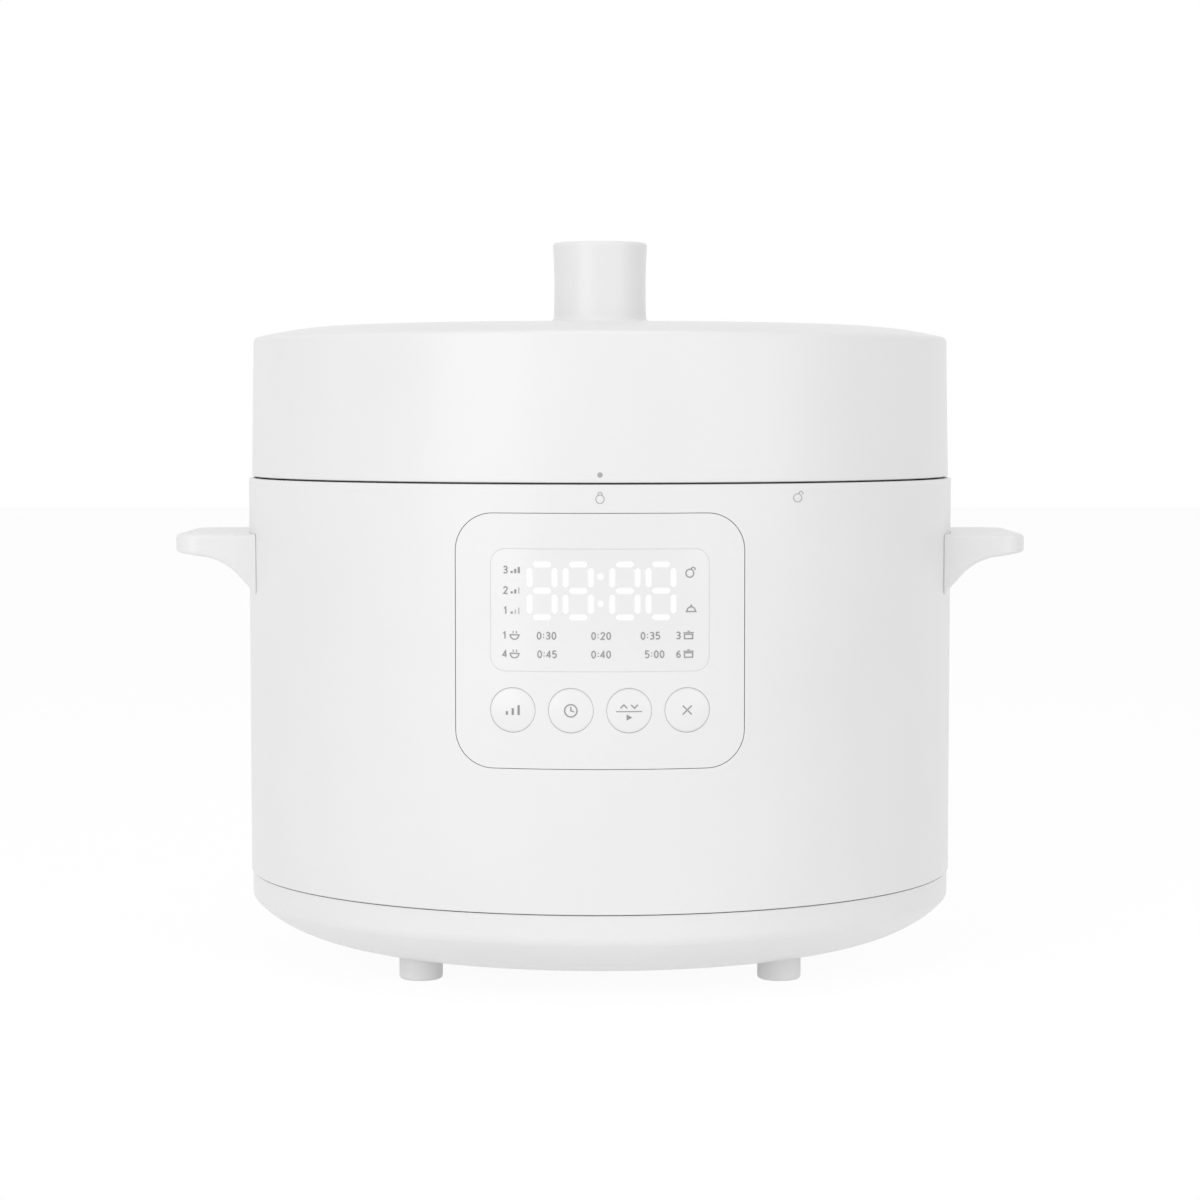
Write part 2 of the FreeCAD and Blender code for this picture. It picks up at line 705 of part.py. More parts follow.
def base_solid(inset):
    """Solid inside the bottom pan's outer surface by an inset."""
    wall_foot = BASE_SEAM_Z - BASE_WALL_HEIGHT
    start = math.radians(BOWL_START_DEG)
    wide = (BASE_RADIUS - BASE_FLAT_RADIUS) / math.cos(start)
    deep = (wall_foot - FOOT_HEIGHT) / (1 - math.sin(start))
    centre = rz(BASE_FLAT_RADIUS, FOOT_HEIGHT + deep)
    wide, deep = wide - inset, deep - inset
    radius = BASE_RADIUS - inset
    meet = math.acos((radius - BASE_FLAT_RADIUS) / wide)
    ellipse = Part.Ellipse(centre + Vector(wide, 0, 0), centre - Vector(0, 0, deep), centre)
    bowl = Part.ArcOfEllipse(ellipse, meet, math.pi / 2).toShape()
    shoulder = rz(radius, centre.z - deep * math.sin(meet))
    flat = rz(BASE_FLAT_RADIUS, FOOT_HEIGHT + inset)
    top = BASE_HIGH_Z
    chain = [Part.makeLine(shoulder, rz(radius, top)), Part.makeLine(rz(radius, top), rz(0, top)),
             Part.makeLine(rz(0, top), rz(0, flat.z)), Part.makeLine(rz(0, flat.z), flat), bowl]
    solid = spun(Part.sortEdges(chain)[0])
    return solid.makeFillet(BOWL_EDGE_ROUND, circle_edges(solid, radius, shoulder.z))


def vent_slots():
    """Radial slots through the floor of the base."""
    slots = []
    for i in range(VENT_COUNT):
        angle = 270 - VENT_SWEEP_DEG / 2 + VENT_SWEEP_DEG * i / (VENT_COUNT - 1)
        half = VENT_WIDTH / 2
        slot = block((VENT_INNER, VENT_OUTER), (-half, half), (0, BASE_FLOOR_Z + OVERSHOOT))
        slots.append(turned(slot, angle))
    return slots


def board_corners():
    """Screw places of the power board."""
    across = BOARD_WIDTH / 2 - BOARD_HOLE_INSET
    along = BOARD_DEPTH / 2 - BOARD_HOLE_INSET
    return [Vector(i * across, BOARD_CENTRE_Y + j * along, 0) for i in (-1, 1) for j in (-1, 1)]


def make_bottom_base():
    """Rounded bottom pan with a locating spigot, screw posts, board standoffs and vents."""
    outer = base_solid(0)
    parts = [outer.cut(base_solid(BASE_WALL))]
    spigot_outer = wall_radius(HOUSING_LOW_Z, HOUSING_WALL + SPIGOT_CLEARANCE)
    spigot_top = BASE_SEAM_Z + SPIGOT_HEIGHT
    spigot_foot = BASE_HIGH_Z - BASE_WALL
    parts.append(tube(spigot_outer, spigot_outer - SPIGOT_WALL, spigot_foot, spigot_top))
    for angle in BOSS_ANGLES:
        post = disc(BASE_POST_RADIUS, 0, BASE_HIGH_Z, polar(BOSS_CIRCLE, angle))
        parts.append(post.common(outer))
    for corner in board_corners():
        parts.append(disc(BOARD_STANDOFF_RADIUS, BASE_FLOOR_Z - BASE_WALL / 2, BOARD_Z, corner))
    cuts = vent_slots()
    for angle in BOSS_ANGLES:
        place = polar(BOSS_CIRCLE, angle)
        cuts.append(disc(SCREW_RADIUS + SCREW_PASS, 0, BASE_HIGH_Z, place))
        recess = SCREW_HEAD_RADIUS + COUNTERBORE_CLEARANCE
        cuts.append(disc(recess, 0, BASE_HIGH_Z - BASE_POST_ROOF, place))
        boss_room = BOSS_RADIUS + SCREW_PASS
        cuts.append(disc(boss_room, BASE_HIGH_Z, spigot_top, place))
    for angle in FOOT_ANGLES:
        cuts.append(disc(FOOT_NECK_RADIUS + FOOT_FIT, 0, BASE_FLOOR_Z + OVERSHOOT, polar(FOOT_CIRCLE, angle)))
    for corner in board_corners():
        cuts.append(disc(SMALL_SCREW_RADIUS + SCREW_FIT, BASE_FLOOR_Z, BOARD_Z, corner))
    return joined(parts).cut(cuts)


def make_rubber_feet():
    """Four push-in rubber feet."""
    feet = []
    for angle in FOOT_ANGLES:
        pad = disc(FOOT_RADIUS, 0, FOOT_HEIGHT - SEAT_GAP)
        pad = pad.makeFillet(FOOT_ROUND, circle_edges(pad, FOOT_RADIUS, 0))
        head_z = BASE_FLOOR_Z + FOOT_HEAD_GAP
        neck = disc(FOOT_NECK_RADIUS, FOOT_HEIGHT - SEAT_GAP, head_z)
        head = disc(FOOT_HEAD_RADIUS, head_z, head_z + FOOT_HEAD_HEIGHT)
        foot = joined([pad, neck, head])
        foot.translate(polar(FOOT_CIRCLE, angle))
        feet.append(foot)
    return group(feet)


def make_base_screws():
    """Screws that hold the base to the housing bosses."""
    screws = []
    seat = BASE_HIGH_Z - BASE_POST_ROOF
    for angle in BOSS_ANGLES:
        place = polar(BOSS_CIRCLE, angle)
        head = disc(SCREW_HEAD_RADIUS, seat - SCREW_HEAD_HEIGHT, seat, place)
        shank = disc(SCREW_RADIUS, seat, HOUSING_LOW_Z + BOSS_HEIGHT - BASE_POST_ROOF, place)
        screws.append(joined([head, shank]))
    return group(screws)


def panel_opening():
    """Prism through the front wall for the control panel."""
    return plate_y(PANEL_WIDTH, PANEL_HEIGHT, PANEL_ROUND, FRONT_Y, 0, PANEL_CENTRE_Z)


def handle_screw_z():
    """Height of the handle screws."""
    return HANDLE_TOP_Z - HANDLE_SCREW_DROP


def make_outer_housing():
    """Round outer wall with an inner lip, screw bosses and openings."""
    solid = wall_core(0)
    top_edge = circle_edges(solid, wall_radius(HOUSING_HIGH_Z), HOUSING_HIGH_Z)
    solid = solid.makeFillet(HOUSING_EDGE_ROUND, top_edge)
    parts = [solid.cut(wall_core(HOUSING_WALL))]
    lip_top = COLLAR_TOP_Z - COLLAR_WALL
    lip_outer = wall_radius(lip_top, HOUSING_WALL / 2)
    lip_inner = wall_radius(lip_top, HOUSING_WALL) - LIP_WIDTH
    parts.append(tube(lip_outer, lip_inner, lip_top - LIP_HEIGHT, lip_top))
    boss_top = HOUSING_LOW_Z + BOSS_HEIGHT
    rib_low = BASE_SEAM_Z + SPIGOT_HEIGHT + BASE_GAP
    for angle in BOSS_ANGLES:
        place = polar(BOSS_CIRCLE, angle)
        parts.append(disc(BOSS_RADIUS, HOUSING_LOW_Z, boss_top, place))
        reach = wall_radius(HOUSING_LOW_Z, HOUSING_WALL / 2)
        rib = block((BOSS_CIRCLE, reach), (-BOSS_RIB / 2, BOSS_RIB / 2), (rib_low, boss_top))
        parts.append(turned(rib, angle))
    cuts = [panel_opening(), inlet_prism(INLET_FIT, 0)]
    for angle in BOSS_ANGLES:
        cuts.append(disc(SCREW_RADIUS + SCREW_FIT, HOUSING_LOW_Z, boss_top, polar(BOSS_CIRCLE, angle)))
    for side in (-1, 1):
        for place in (-HANDLE_SCREW_SPREAD, HANDLE_SCREW_SPREAD):
            ends = sorted((side * (HOUSING_RADIUS - HANDLE_BURY), side * (HOUSING_RADIUS + OVERSHOOT)))
            cuts.append(bar_x(SCREW_RADIUS + SCREW_PASS, place, handle_screw_z(), *ends))
    return joined(parts).cut(cuts)


# Side handles

def handle_profile():
    """Side view of a handle: flat top, thin tip and an underside that bends down to the wall."""
    root = HOUSING_RADIUS - HANDLE_BURY
    tip_low = rz(HANDLE_REACH, HANDLE_TOP_Z - HANDLE_TIP_THICK)
    out = Vector(math.cos(math.radians(HANDLE_TIP_DEG)), 0, math.sin(math.radians(HANDLE_TIP_DEG)))
    down = Vector(-math.cos(math.radians(HANDLE_ROOT_DEG)), 0, -math.sin(math.radians(HANDLE_ROOT_DEG)))
    bend = tip_low - out * (HANDLE_TIP_RUN / out.x)
    turn = math.radians(HANDLE_ROOT_DEG - HANDLE_TIP_DEG)
    reach = HANDLE_BEND_ROUND * math.tan(turn / 2)
    depth = HANDLE_BEND_ROUND / math.cos(turn / 2) - HANDLE_BEND_ROUND
    first, last = bend + out * reach, bend + down * reach
    middle = bend + (out + down).normalize() * depth
    foot = bend + down * ((bend.x - root) / -down.x)
    corners = [foot, rz(root, HANDLE_TOP_Z), rz(HANDLE_REACH, HANDLE_TOP_Z), tip_low, first]
    edges = [Part.makeLine(a, b) for a, b in zip(corners, corners[1:])]
    edges += [Part.Arc(first, middle, last).toShape(), Part.makeLine(last, foot)]
    return Part.Face(Part.Wire(edges))


def make_handle(side):
    """One solid ear on a side of the housing, -1 for left and 1 for right."""
    profile = handle_profile()
    profile.translate(Vector(0, -HANDLE_WIDTH / 2, 0))
    ear = profile.extrude(Vector(0, HANDLE_WIDTH, 0))
    at_tip = [e for e in ear.Edges if e.BoundBox.XMin > HANDLE_REACH - NEAR]
    tip = [e for e in at_tip if e.BoundBox.ZLength > HANDLE_TIP_THICK / 2]
    ear = ear.makeFillet(HANDLE_PLAN_ROUND, tip)
    rims = []
    for edge in ear.Edges:
        box = edge.BoundBox
        upright = box.XLength < NEAR and box.YLength < NEAR
        across = box.YLength > HANDLE_WIDTH - NEAR
        if box.XMax > HOUSING_RADIUS - HANDLE_BURY + NEAR and not upright and not across:
            rims.append(edge)
    ear = ear.makeFillet(HANDLE_EDGE_ROUND, rims)
    ear = ear.cut(wall_core(-SEAT_GAP))
    for place in (-HANDLE_SCREW_SPREAD, HANDLE_SCREW_SPREAD):
        reach = HOUSING_RADIUS + HANDLE_SCREW_LENGTH
        ear = ear.cut(bar_x(SCREW_RADIUS + SCREW_FIT, place, handle_screw_z(), 0, reach))
    return turned(ear.Solids[0], 0 if side > 0 else 180)


def make_handle_screws():
    """Screws driven from inside the housing into the handles."""
    screws = []
    far = HANDLE_SCREW_SPREAD + SCREW_HEAD_RADIUS
    seat = surface_y(far, handle_screw_z(), HOUSING_WALL + SEAT_GAP)
    tip = HOUSING_RADIUS + HANDLE_SCREW_LENGTH - SCREW_TIP_GAP
    for place in (-HANDLE_SCREW_SPREAD, HANDLE_SCREW_SPREAD):
        head = bar_x(SCREW_HEAD_RADIUS, place, handle_screw_z(), seat - SCREW_HEAD_HEIGHT, seat)
        shank = bar_x(SCREW_RADIUS, place, handle_screw_z(), seat, tip)
        screw = joined([head, shank])
        screws += [screw, turned(screw, 180)]
    return group(screws)


# Mains inlet and power board

def inlet_prism(grow, near):
    """Rounded prism through the back wall, wider than the inlet by grow on each side."""
    return plate_y(INLET_WIDTH + 2 * grow, INLET_HEIGHT + 2 * grow, INLET_ROUND + grow, near,
                   BACK_Y, INLET_Z)


def socket_prism(grow, front, back):
    """Six-sided socket shape, grown by a wall, between two places along Y."""
    half_w, half_h = SOCKET_WIDTH / 2 + grow, SOCKET_HEIGHT / 2 + grow
    cut = SOCKET_CHAMFER
    outline = [(-half_w, -half_h), (half_w, -half_h), (half_w, half_h - cut), (half_w - cut, half_h),
               (cut - half_w, half_h), (-half_w, half_h - cut)]
    corners = [Vector(x, front, INLET_Z + z) for x, z in outline]
    return Part.Face(Part.makePolygon(corners + corners[:1])).extrude(Vector(0, back - front, 0))


def socket_face_y():
    """Place of the inlet's outer face along Y."""
    return surface_y(SOCKET_WIDTH / 2, INLET_Z)


def pin_places():
    """Offsets of the three inlet pins across the socket."""
    return [(-PIN_SPREAD, 0), (PIN_SPREAD, 0), (0, PIN_EARTH_RISE)]


def pin_blade(x, rise, grow, front, back):
    """One flat pin along Y."""
    return block((x - PIN_WIDTH / 2 - grow, x + PIN_WIDTH / 2 + grow), (front, back),
                 (INLET_Z + rise - PIN_HEIGHT / 2 - grow, INLET_Z + rise + PIN_HEIGHT / 2 + grow))


def make_power_inlet():
    """Recessed mains socket, flush with the back of the housing."""
    face = socket_face_y()
    floor = face - SOCKET_DEPTH
    plug = wall_skin(0, HOUSING_WALL + SEAT_GAP + INLET_FLANGE_THICK).common(inlet_prism(0, 0))
    flange_skin = wall_skin(HOUSING_WALL + SEAT_GAP, HOUSING_WALL + SEAT_GAP + INLET_FLANGE_THICK)
    flange = flange_skin.common(inlet_prism(INLET_FLANGE, 0))
    body = socket_prism(SOCKET_WALL, floor - SOCKET_FLOOR, face - HOUSING_WALL)
    whole = joined([plug, flange, body]).cut(socket_prism(0, floor, BACK_Y))
    back, front = floor - SOCKET_FLOOR - OVERSHOOT, floor + OVERSHOOT
    return whole.cut([pin_blade(x, rise, PIN_FIT, back, front) for x, rise in pin_places()])


def make_inlet_pins():
    """Three brass pins with solder tails."""
    face = socket_face_y()
    tail = face - SOCKET_DEPTH - SOCKET_FLOOR - PIN_TAIL
    return group([pin_blade(x, rise, 0, tail, face - PIN_RECESS) for x, rise in pin_places()])


def make_power_board():
    """Mains board on four standoffs."""
    half = BOARD_WIDTH / 2
    low_y, high_y = BOARD_CENTRE_Y - BOARD_DEPTH / 2, BOARD_CENTRE_Y + BOARD_DEPTH / 2
    board = block((-half, half), (low_y, high_y), (BOARD_Z, BOARD_TOP_Z))
    pass_radius = SMALL_SCREW_RADIUS + SCREW_PASS
    return board.cut([disc(pass_radius, BOARD_Z, BOARD_TOP_Z, corner) for corner in board_corners()])


def make_board_screws():
    """Screws through the power board into the standoffs."""
    screws = []
    for corner in board_corners():
        head = disc(SMALL_HEAD_RADIUS, BOARD_TOP_Z, BOARD_TOP_Z + SMALL_HEAD_HEIGHT, corner)
        shank = disc(SMALL_SCREW_RADIUS, BOARD_TOP_Z - SMALL_SCREW_LENGTH + BOARD_THICK, BOARD_TOP_Z, corner)
        screws.append(joined([head, shank]))
    return group(screws)


def board_block(place, size):
    """Rectangular component standing on the power board."""
    x, y = place[0], BOARD_CENTRE_Y + place[1]
    half_w, half_d = size[0] / 2, size[1] / 2
    top = BOARD_TOP_Z + size[2]
    return block((x - half_w, x + half_w), (y - half_d, y + half_d), (BOARD_TOP_Z, top))


def make_transformer():
    """Small mains transformer: a core with a winding through it."""
    core = board_block(TRANSFORMER_PLACE, TRANSFORMER_CORE)
    return joined([core, board_block(TRANSFORMER_PLACE, TRANSFORMER_WINDING)])


def make_relay():
    """Heater relay."""
    relay = board_block(RELAY_PLACE, RELAY_SIZE)
    upright = [e for e in relay.Edges if e.BoundBox.ZLength > RELAY_SIZE[2] - NEAR]
    return relay.makeFillet(RELAY_ROUND, upright)


def make_capacitors():
    """Filter capacitors: two cans and one film block."""
    top = BOARD_TOP_Z + CAN_HEIGHT
    cans = [disc(CAN_RADIUS, BOARD_TOP_Z, top, Vector(CAN_X, BOARD_CENTRE_Y + y, 0)) for y in CAN_SPREAD]
    return group(cans + [board_block(FILM_CAPACITOR_PLACE, FILM_CAPACITOR_SIZE)])


def make_terminal_block():
    """Terminals for the mains and heater leads."""
    return board_block(TERMINAL_PLACE, TERMINAL_SIZE)


def make_wiring():
    """Mains leads from the inlet, heater leads and the cable to the display board."""
    leads = []
    terminal_y = BOARD_CENTRE_Y + TERMINAL_PLACE[1]
    tail_y = socket_face_y() - SOCKET_DEPTH - SOCKET_FLOOR - PIN_TAIL / 2
    ceiling = JACKET_LOW_Z - LEAD_CEILING_GAP - LEAD_RADIUS
    terminal_top = BOARD_TOP_Z + TERMINAL_SIZE[2]
    for x, rise in pin_places():
        start = INLET_Z + rise - PIN_HEIGHT / 2
        leads.append(lead([Vector(x, tail_y, start), Vector(x, tail_y, ceiling),
                           Vector(x, terminal_y, ceiling), Vector(x, terminal_y, terminal_top)]))
    leg_end = JACKET_LOW_Z - ELEMENT_LEG_LENGTH
    run = leg_end - HEATER_LEAD_DROP
    for end in element_ends():
        leads.append(lead([Vector(end.x, end.y, leg_end), Vector(end.x, end.y, run),
                           Vector(end.x, terminal_y - TERMINAL_SIZE[1] / 2, run)]))
    x = PANEL_CABLE_X
    cable_y = DISPLAY_BOARD_Y + BOARD_THICK + LEAD_GAP + LEAD_RADIUS
    cable_top = PANEL_CENTRE_Z - DISPLAY_BOARD_HEIGHT / 2 + PANEL_CABLE_OVERLAP
    board_y = BOARD_CENTRE_Y - BOARD_DEPTH / 2 + PANEL_CABLE_INSET
    leads.append(lead([Vector(x, cable_y, cable_top), Vector(x, cable_y, run), Vector(x, board_y, run),
                       Vector(x, board_y, BOARD_TOP_Z)]))
    return group(leads)


# Jacket, heater and pot

def make_outer_pot():
    """Pressed steel jacket with a flange that hangs on the collar."""
    outer = disc(JACKET_OUTER, JACKET_LOW_Z, JACKET_TOP_Z)
    outer = outer.makeFillet(JACKET_CORNER, circle_edges(outer, JACKET_OUTER, JACKET_LOW_Z))
    inner = disc(JACKET_INNER, JACKET_FLOOR_Z, JACKET_TOP_Z)
    inner = inner.makeFillet(JACKET_CORNER - JACKET_WALL, circle_edges(inner, JACKET_INNER, JACKET_FLOOR_Z))
    flange = tube(JACKET_OUTER + JACKET_FLANGE, JACKET_INNER, JACKET_TOP_Z - JACKET_WALL, JACKET_TOP_Z)
    holes = [disc(CUP_INNER + CUP_WALL + CUP_FIT, JACKET_LOW_Z, JACKET_FLOOR_Z),
             disc(PLUNGER_RADIUS + PLUNGER_FIT, JACKET_LOW_Z, JACKET_FLOOR_Z,
                  Vector(PRESSURE_SWITCH_X, PRESSURE_SWITCH_Y, 0))]
    holes += [disc(ELEMENT_HOLE, JACKET_LOW_Z, JACKET_FLOOR_Z, place) for place in element_ends()]
    return joined([outer.cut(inner), flange]).cut(holes)


def cam_outline(low):
    """Points of the spiral cam: its radius grows evenly with the turn of the lid."""
    points = []
    for i in range(CAM_STEPS + 1):
        turn = -CAM_LEAD_DEG + (LID_TURN_DEG + 2 * CAM_LEAD_DEG) * i / CAM_STEPS
        radius = FINGER_INNER - FINGER_CAM_GAP + LOCK_TRAVEL * turn / LID_TURN_DEG
        points.append(polar(radius, LOCK_DEG + turn, low))
    return points


def make_cam():
    """Spiral rib on the ring that pushes the lock finger outwards as the lid opens."""
    low = FINGER_LOW_Z
    rise = Part.BSplineCurve()
    rise.interpolate(cam_outline(low))
    first, last = cam_outline(low)[0], cam_outline(low)[-1]
    inner_radius = RING_OUTER - RING_WALL / 2
    turns = (-CAM_LEAD_DEG, LID_TURN_DEG / 2, LID_TURN_DEG + CAM_LEAD_DEG)
    a, b, c = [polar(inner_radius, LOCK_DEG + turn, low) for turn in turns]
    edges = [rise.toShape(), Part.makeLine(last, c), Part.Arc(c, b, a).toShape(), Part.makeLine(a, first)]
    return Part.Face(Part.Wire(edges)).extrude(Vector(0, 0, TOOTH_LOW_Z - low))


def make_bayonet_ring():
    """Ring of inward teeth, with the interlock cam on its outside."""
    top = TOOTH_LOW_Z + TOOTH_THICK
    foot_top = JACKET_TOP_Z + RING_BASE
    foot = tube(RING_OUTER + RING_FOOT, RING_INNER - RING_FOOT, JACKET_TOP_Z, foot_top)
    parts = [tube(RING_OUTER, RING_INNER, JACKET_TOP_Z, top), foot, make_cam()]
    overlap = RING_WALL / 2
    for i in range(TOOTH_COUNT):
        start = 360 * i / TOOTH_COUNT - TOOTH_DEG / 2
        parts.append(sector(TOOTH_INNER, RING_INNER + overlap, TOOTH_LOW_Z, top, start, TOOTH_DEG))
    return joined(parts)


def make_inner_pot():
    """Removable cooking pot with a turned-out rim."""
    outer = disc(POT_OUTER, HEATER_TOP_Z, POT_RIM_Z)
    outer = outer.makeFillet(POT_CORNER, circle_edges(outer, POT_OUTER, HEATER_TOP_Z))
    inner = disc(POT_RADIUS, POT_FLOOR_Z, POT_RIM_Z)
    inner = inner.makeFillet(POT_CORNER - POT_WALL, circle_edges(inner, POT_RADIUS, POT_FLOOR_Z))
    rim = tube(POT_RADIUS + POT_FLANGE, POT_RADIUS, POT_RIM_Z - POT_WALL, POT_RIM_Z)
    rim = rim.makeFillet(POT_RIM_ROUND, circle_edges(rim, POT_RADIUS + POT_FLANGE, POT_RIM_Z))
    return joined([outer.cut(inner), rim])


def element_ends():
    """Places where the heating element turns down through the jacket."""
    return [polar(ELEMENT_CIRCLE, 270 + side * ELEMENT_GAP_DEG / 2) for side in (-1, 1)]


def element_shape(grow):
    """Ring of the tubular element with its two legs, grown by a clearance."""
    radius = ELEMENT_RADIUS + grow
    sweep = 360 - ELEMENT_GAP_DEG
    ring = Part.makeTorus(ELEMENT_CIRCLE, radius, rz(0, ELEMENT_Z), Z_AXIS, -180, 180, sweep)
    ring = turned(ring, 270 + ELEMENT_GAP_DEG / 2)
    parts = [ring]
    leg_radius = ELEMENT_LEG_RADIUS + grow
    for place in element_ends():
        parts.append(disc(leg_radius, JACKET_LOW_Z - ELEMENT_LEG_LENGTH, ELEMENT_Z + leg_radius, place))
    return joined(parts)


def make_heating_plate():
    """Heater disc on three legs, cast round the element."""
    plate = tube(HEATER_RADIUS, HEATER_HOLE, HEATER_LOW_Z, HEATER_TOP_Z)
    plate = plate.makeFillet(HEATER_EDGE_ROUND, circle_edges(plate, HEATER_RADIUS, HEATER_TOP_Z))
    parts = [plate]
    for angle in HEATER_LEG_ANGLES:
        place = polar(HEATER_LEG_CIRCLE, angle)
        parts.append(disc(HEATER_LEG_RADIUS, HEATER_LOW_Z - HEATER_LEG, HEATER_LOW_Z + OVERSHOOT, place))
    return joined(parts).cut(element_shape(ELEMENT_FIT))


def make_heating_element():
    """Tubular heating element."""
    return element_shape(0)


def make_spring_plate():
    """Elastic steel disc under the heater."""
    plate = tube(SPRING_PLATE_OUTER, SPRING_PLATE_INNER, JACKET_FLOOR_Z, JACKET_FLOOR_Z + SPRING_PLATE_THICK)
    top = JACKET_FLOOR_Z + SPRING_PLATE_THICK
    return plate.cut([disc(ELEMENT_HOLE, JACKET_FLOOR_Z, top, place) for place in element_ends()])


def make_sensor_cup():
    """Cup in the jacket floor that guides the sensor and holds its spring."""
    radius = CUP_INNER + CUP_WALL
    top = JACKET_FLOOR_Z + SPRING_PLATE_THICK
    cup = joined([disc(radius, CUP_LOW_Z, top), disc(radius + CUP_FLANGE, JACKET_FLOOR_Z, top)])
    return cup.cut(disc(CUP_INNER, CUP_LOW_Z + CUP_WALL, top))


def make_sensor_cap():
    """Sprung sensor head that touches the pot."""
    cap = disc(SENSOR_CAP_RADIUS, HEATER_TOP_Z - SENSOR_CAP_HEIGHT, HEATER_TOP_Z)
    cap = cap.makeFillet(SENSOR_CAP_ROUND, circle_edges(cap, SENSOR_CAP_RADIUS, HEATER_TOP_Z))
    stem = disc(SENSOR_STEM_RADIUS, SENSOR_STEM_LOW_Z, HEATER_TOP_Z - SENSOR_CAP_HEIGHT)
    return joined([cap, stem])


def make_sensor_spring():
    """Spring under the sensor stem."""
    floor = CUP_LOW_Z + CUP_WALL
    return coil(SENSOR_SPRING_RADIUS, SENSOR_SPRING_WIRE, SENSOR_SPRING_TURNS, floor, SENSOR_STEM_LOW_Z)


def make_pressure_switch():
    """Switch under the jacket whose plunger feels the spring plate."""
    wide, deep, high = PRESSURE_SWITCH_SIZE
    x, y = PRESSURE_SWITCH_X, PRESSURE_SWITCH_Y
    plate_low = JACKET_LOW_Z - PRESSURE_SWITCH_PLATE
    reach = wide / 2 + PRESSURE_SWITCH_FLANGE
    body = block((x - wide / 2, x + wide / 2), (y - deep / 2, y + deep / 2), (plate_low - high, plate_low))
    plate = block((x - reach, x + reach), (y - deep / 2, y + deep / 2), (plate_low, JACKET_LOW_Z))
    plunger = disc(PLUNGER_RADIUS, plate_low, JACKET_FLOOR_Z - SEAT_GAP, Vector(x, y, 0))
    return joined([body, plate, plunger])


def make_thermal_fuse():
    """Thermal cut-out held against the jacket by a clip."""
    wide, deep, thick = FUSE_CLIP
    z = JACKET_LOW_Z - thick - FUSE_RADIUS
    can = bar_x(FUSE_RADIUS, FUSE_Y, z, FUSE_X - FUSE_LENGTH / 2, FUSE_X + FUSE_LENGTH / 2)
    clip = block((FUSE_X - wide / 2, FUSE_X + wide / 2), (FUSE_Y - deep / 2, FUSE_Y + deep / 2),
                 (z, JACKET_LOW_Z))
    return joined([can, clip])


def make_top_collar():
    """Ring between the housing and the jacket flange, with a drip trough."""
    outer = wall_radius(HOUSING_HIGH_Z, HOUSING_WALL + COLLAR_SIDE_GAP)
    lip_inner = wall_radius(COLLAR_TOP_Z, HOUSING_WALL) - LIP_WIDTH
    trough_outer = lip_inner - COLLAR_SIDE_GAP
    trough_inner = trough_outer - COLLAR_WALL - TROUGH_WIDTH
    low = COLLAR_TOP_Z - TROUGH_DEPTH
    seat = JACKET_TOP_Z - JACKET_WALL
    under = COLLAR_TOP_Z - COLLAR_WALL
    return spun_polygon([
        (outer, COLLAR_TOP_Z), (outer, under), (trough_outer, under), (trough_outer, low),
        (trough_inner - COLLAR_WALL, low), (trough_inner - COLLAR_WALL, seat), (trough_inner, seat),
        (trough_inner, low + COLLAR_WALL), (trough_outer - COLLAR_WALL, low + COLLAR_WALL),
        (trough_outer - COLLAR_WALL, COLLAR_TOP_Z)])


# Control panel, window, board and buttons

def window_prism(grow):
    """Prism through the panel for the display window."""
    return plate_y(WINDOW_WIDTH + 2 * grow, WINDOW_HEIGHT + 2 * grow, WINDOW_ROUND + grow, FRONT_Y, 0,
                   WINDOW_CENTRE_Z)


def button_places():
    """X of each push button."""
    first = -BUTTON_SPACING * (len(BUTTON_NAMES) - 1) / 2
    return [first + BUTTON_SPACING * i for i in range(len(BUTTON_NAMES))]


def panel_boss_places():
    """X and Z of the posts that carry the display board."""
    across = PANEL_WIDTH / 2 - PANEL_BOSS_INSET
    up = PANEL_HEIGHT / 2 - PANEL_BOSS_INSET
    return [(i * across, PANEL_CENTRE_Z + j * up) for i in (-1, 1) for j in (-1, 1)]


def make_control_panel():
    """Curved panel insert with openings for the window and the buttons."""
    fit = PANEL_FIT
    prism = plate_y(PANEL_WIDTH - 2 * fit, PANEL_HEIGHT - 2 * fit, PANEL_ROUND - fit, FRONT_Y, 0,
                    PANEL_CENTRE_Z)
    rim = PANEL_FLANGE
    wide = plate_y(PANEL_WIDTH + 2 * rim, PANEL_HEIGHT + 2 * rim, PANEL_ROUND + rim, FRONT_Y, 0,
                   PANEL_CENTRE_Z)
    parts = [wall_skin(0, PANEL_DEPTH).common(prism),
             wall_skin(HOUSING_WALL + SEAT_GAP, PANEL_DEPTH).common(wide)]
    behind = wall_core(HOUSING_WALL + SEAT_GAP)
    for x, z in panel_boss_places():
        post = bar_y(PANEL_BOSS_RADIUS, x, z, -HOUSING_RADIUS, DISPLAY_BOARD_Y)
        parts.append(post.common(behind))
    cuts = [window_prism(0)]
    for x in button_places():
        cuts.append(bar_y(BUTTON_RADIUS + BUTTON_FIT, x, BUTTON_Z, FRONT_Y, 0))
    for x, z in panel_boss_places():
        pilot_end = DISPLAY_BOARD_Y - SMALL_SCREW_LENGTH
        cuts.append(bar_y(SMALL_SCREW_RADIUS + SCREW_FIT, x, z, pilot_end, DISPLAY_BOARD_Y))
    return joined(parts).cut(cuts)


def make_display_window():
    """Translucent window, flush with the panel."""
    depth = PANEL_DEPTH + SEAT_GAP + WINDOW_FLANGE_THICK
    plug = wall_skin(0, depth).common(window_prism(-WINDOW_FIT))
    flange = wall_skin(PANEL_DEPTH + SEAT_GAP, depth).common(window_prism(WINDOW_FLANGE))
    return joined([plug, flange])


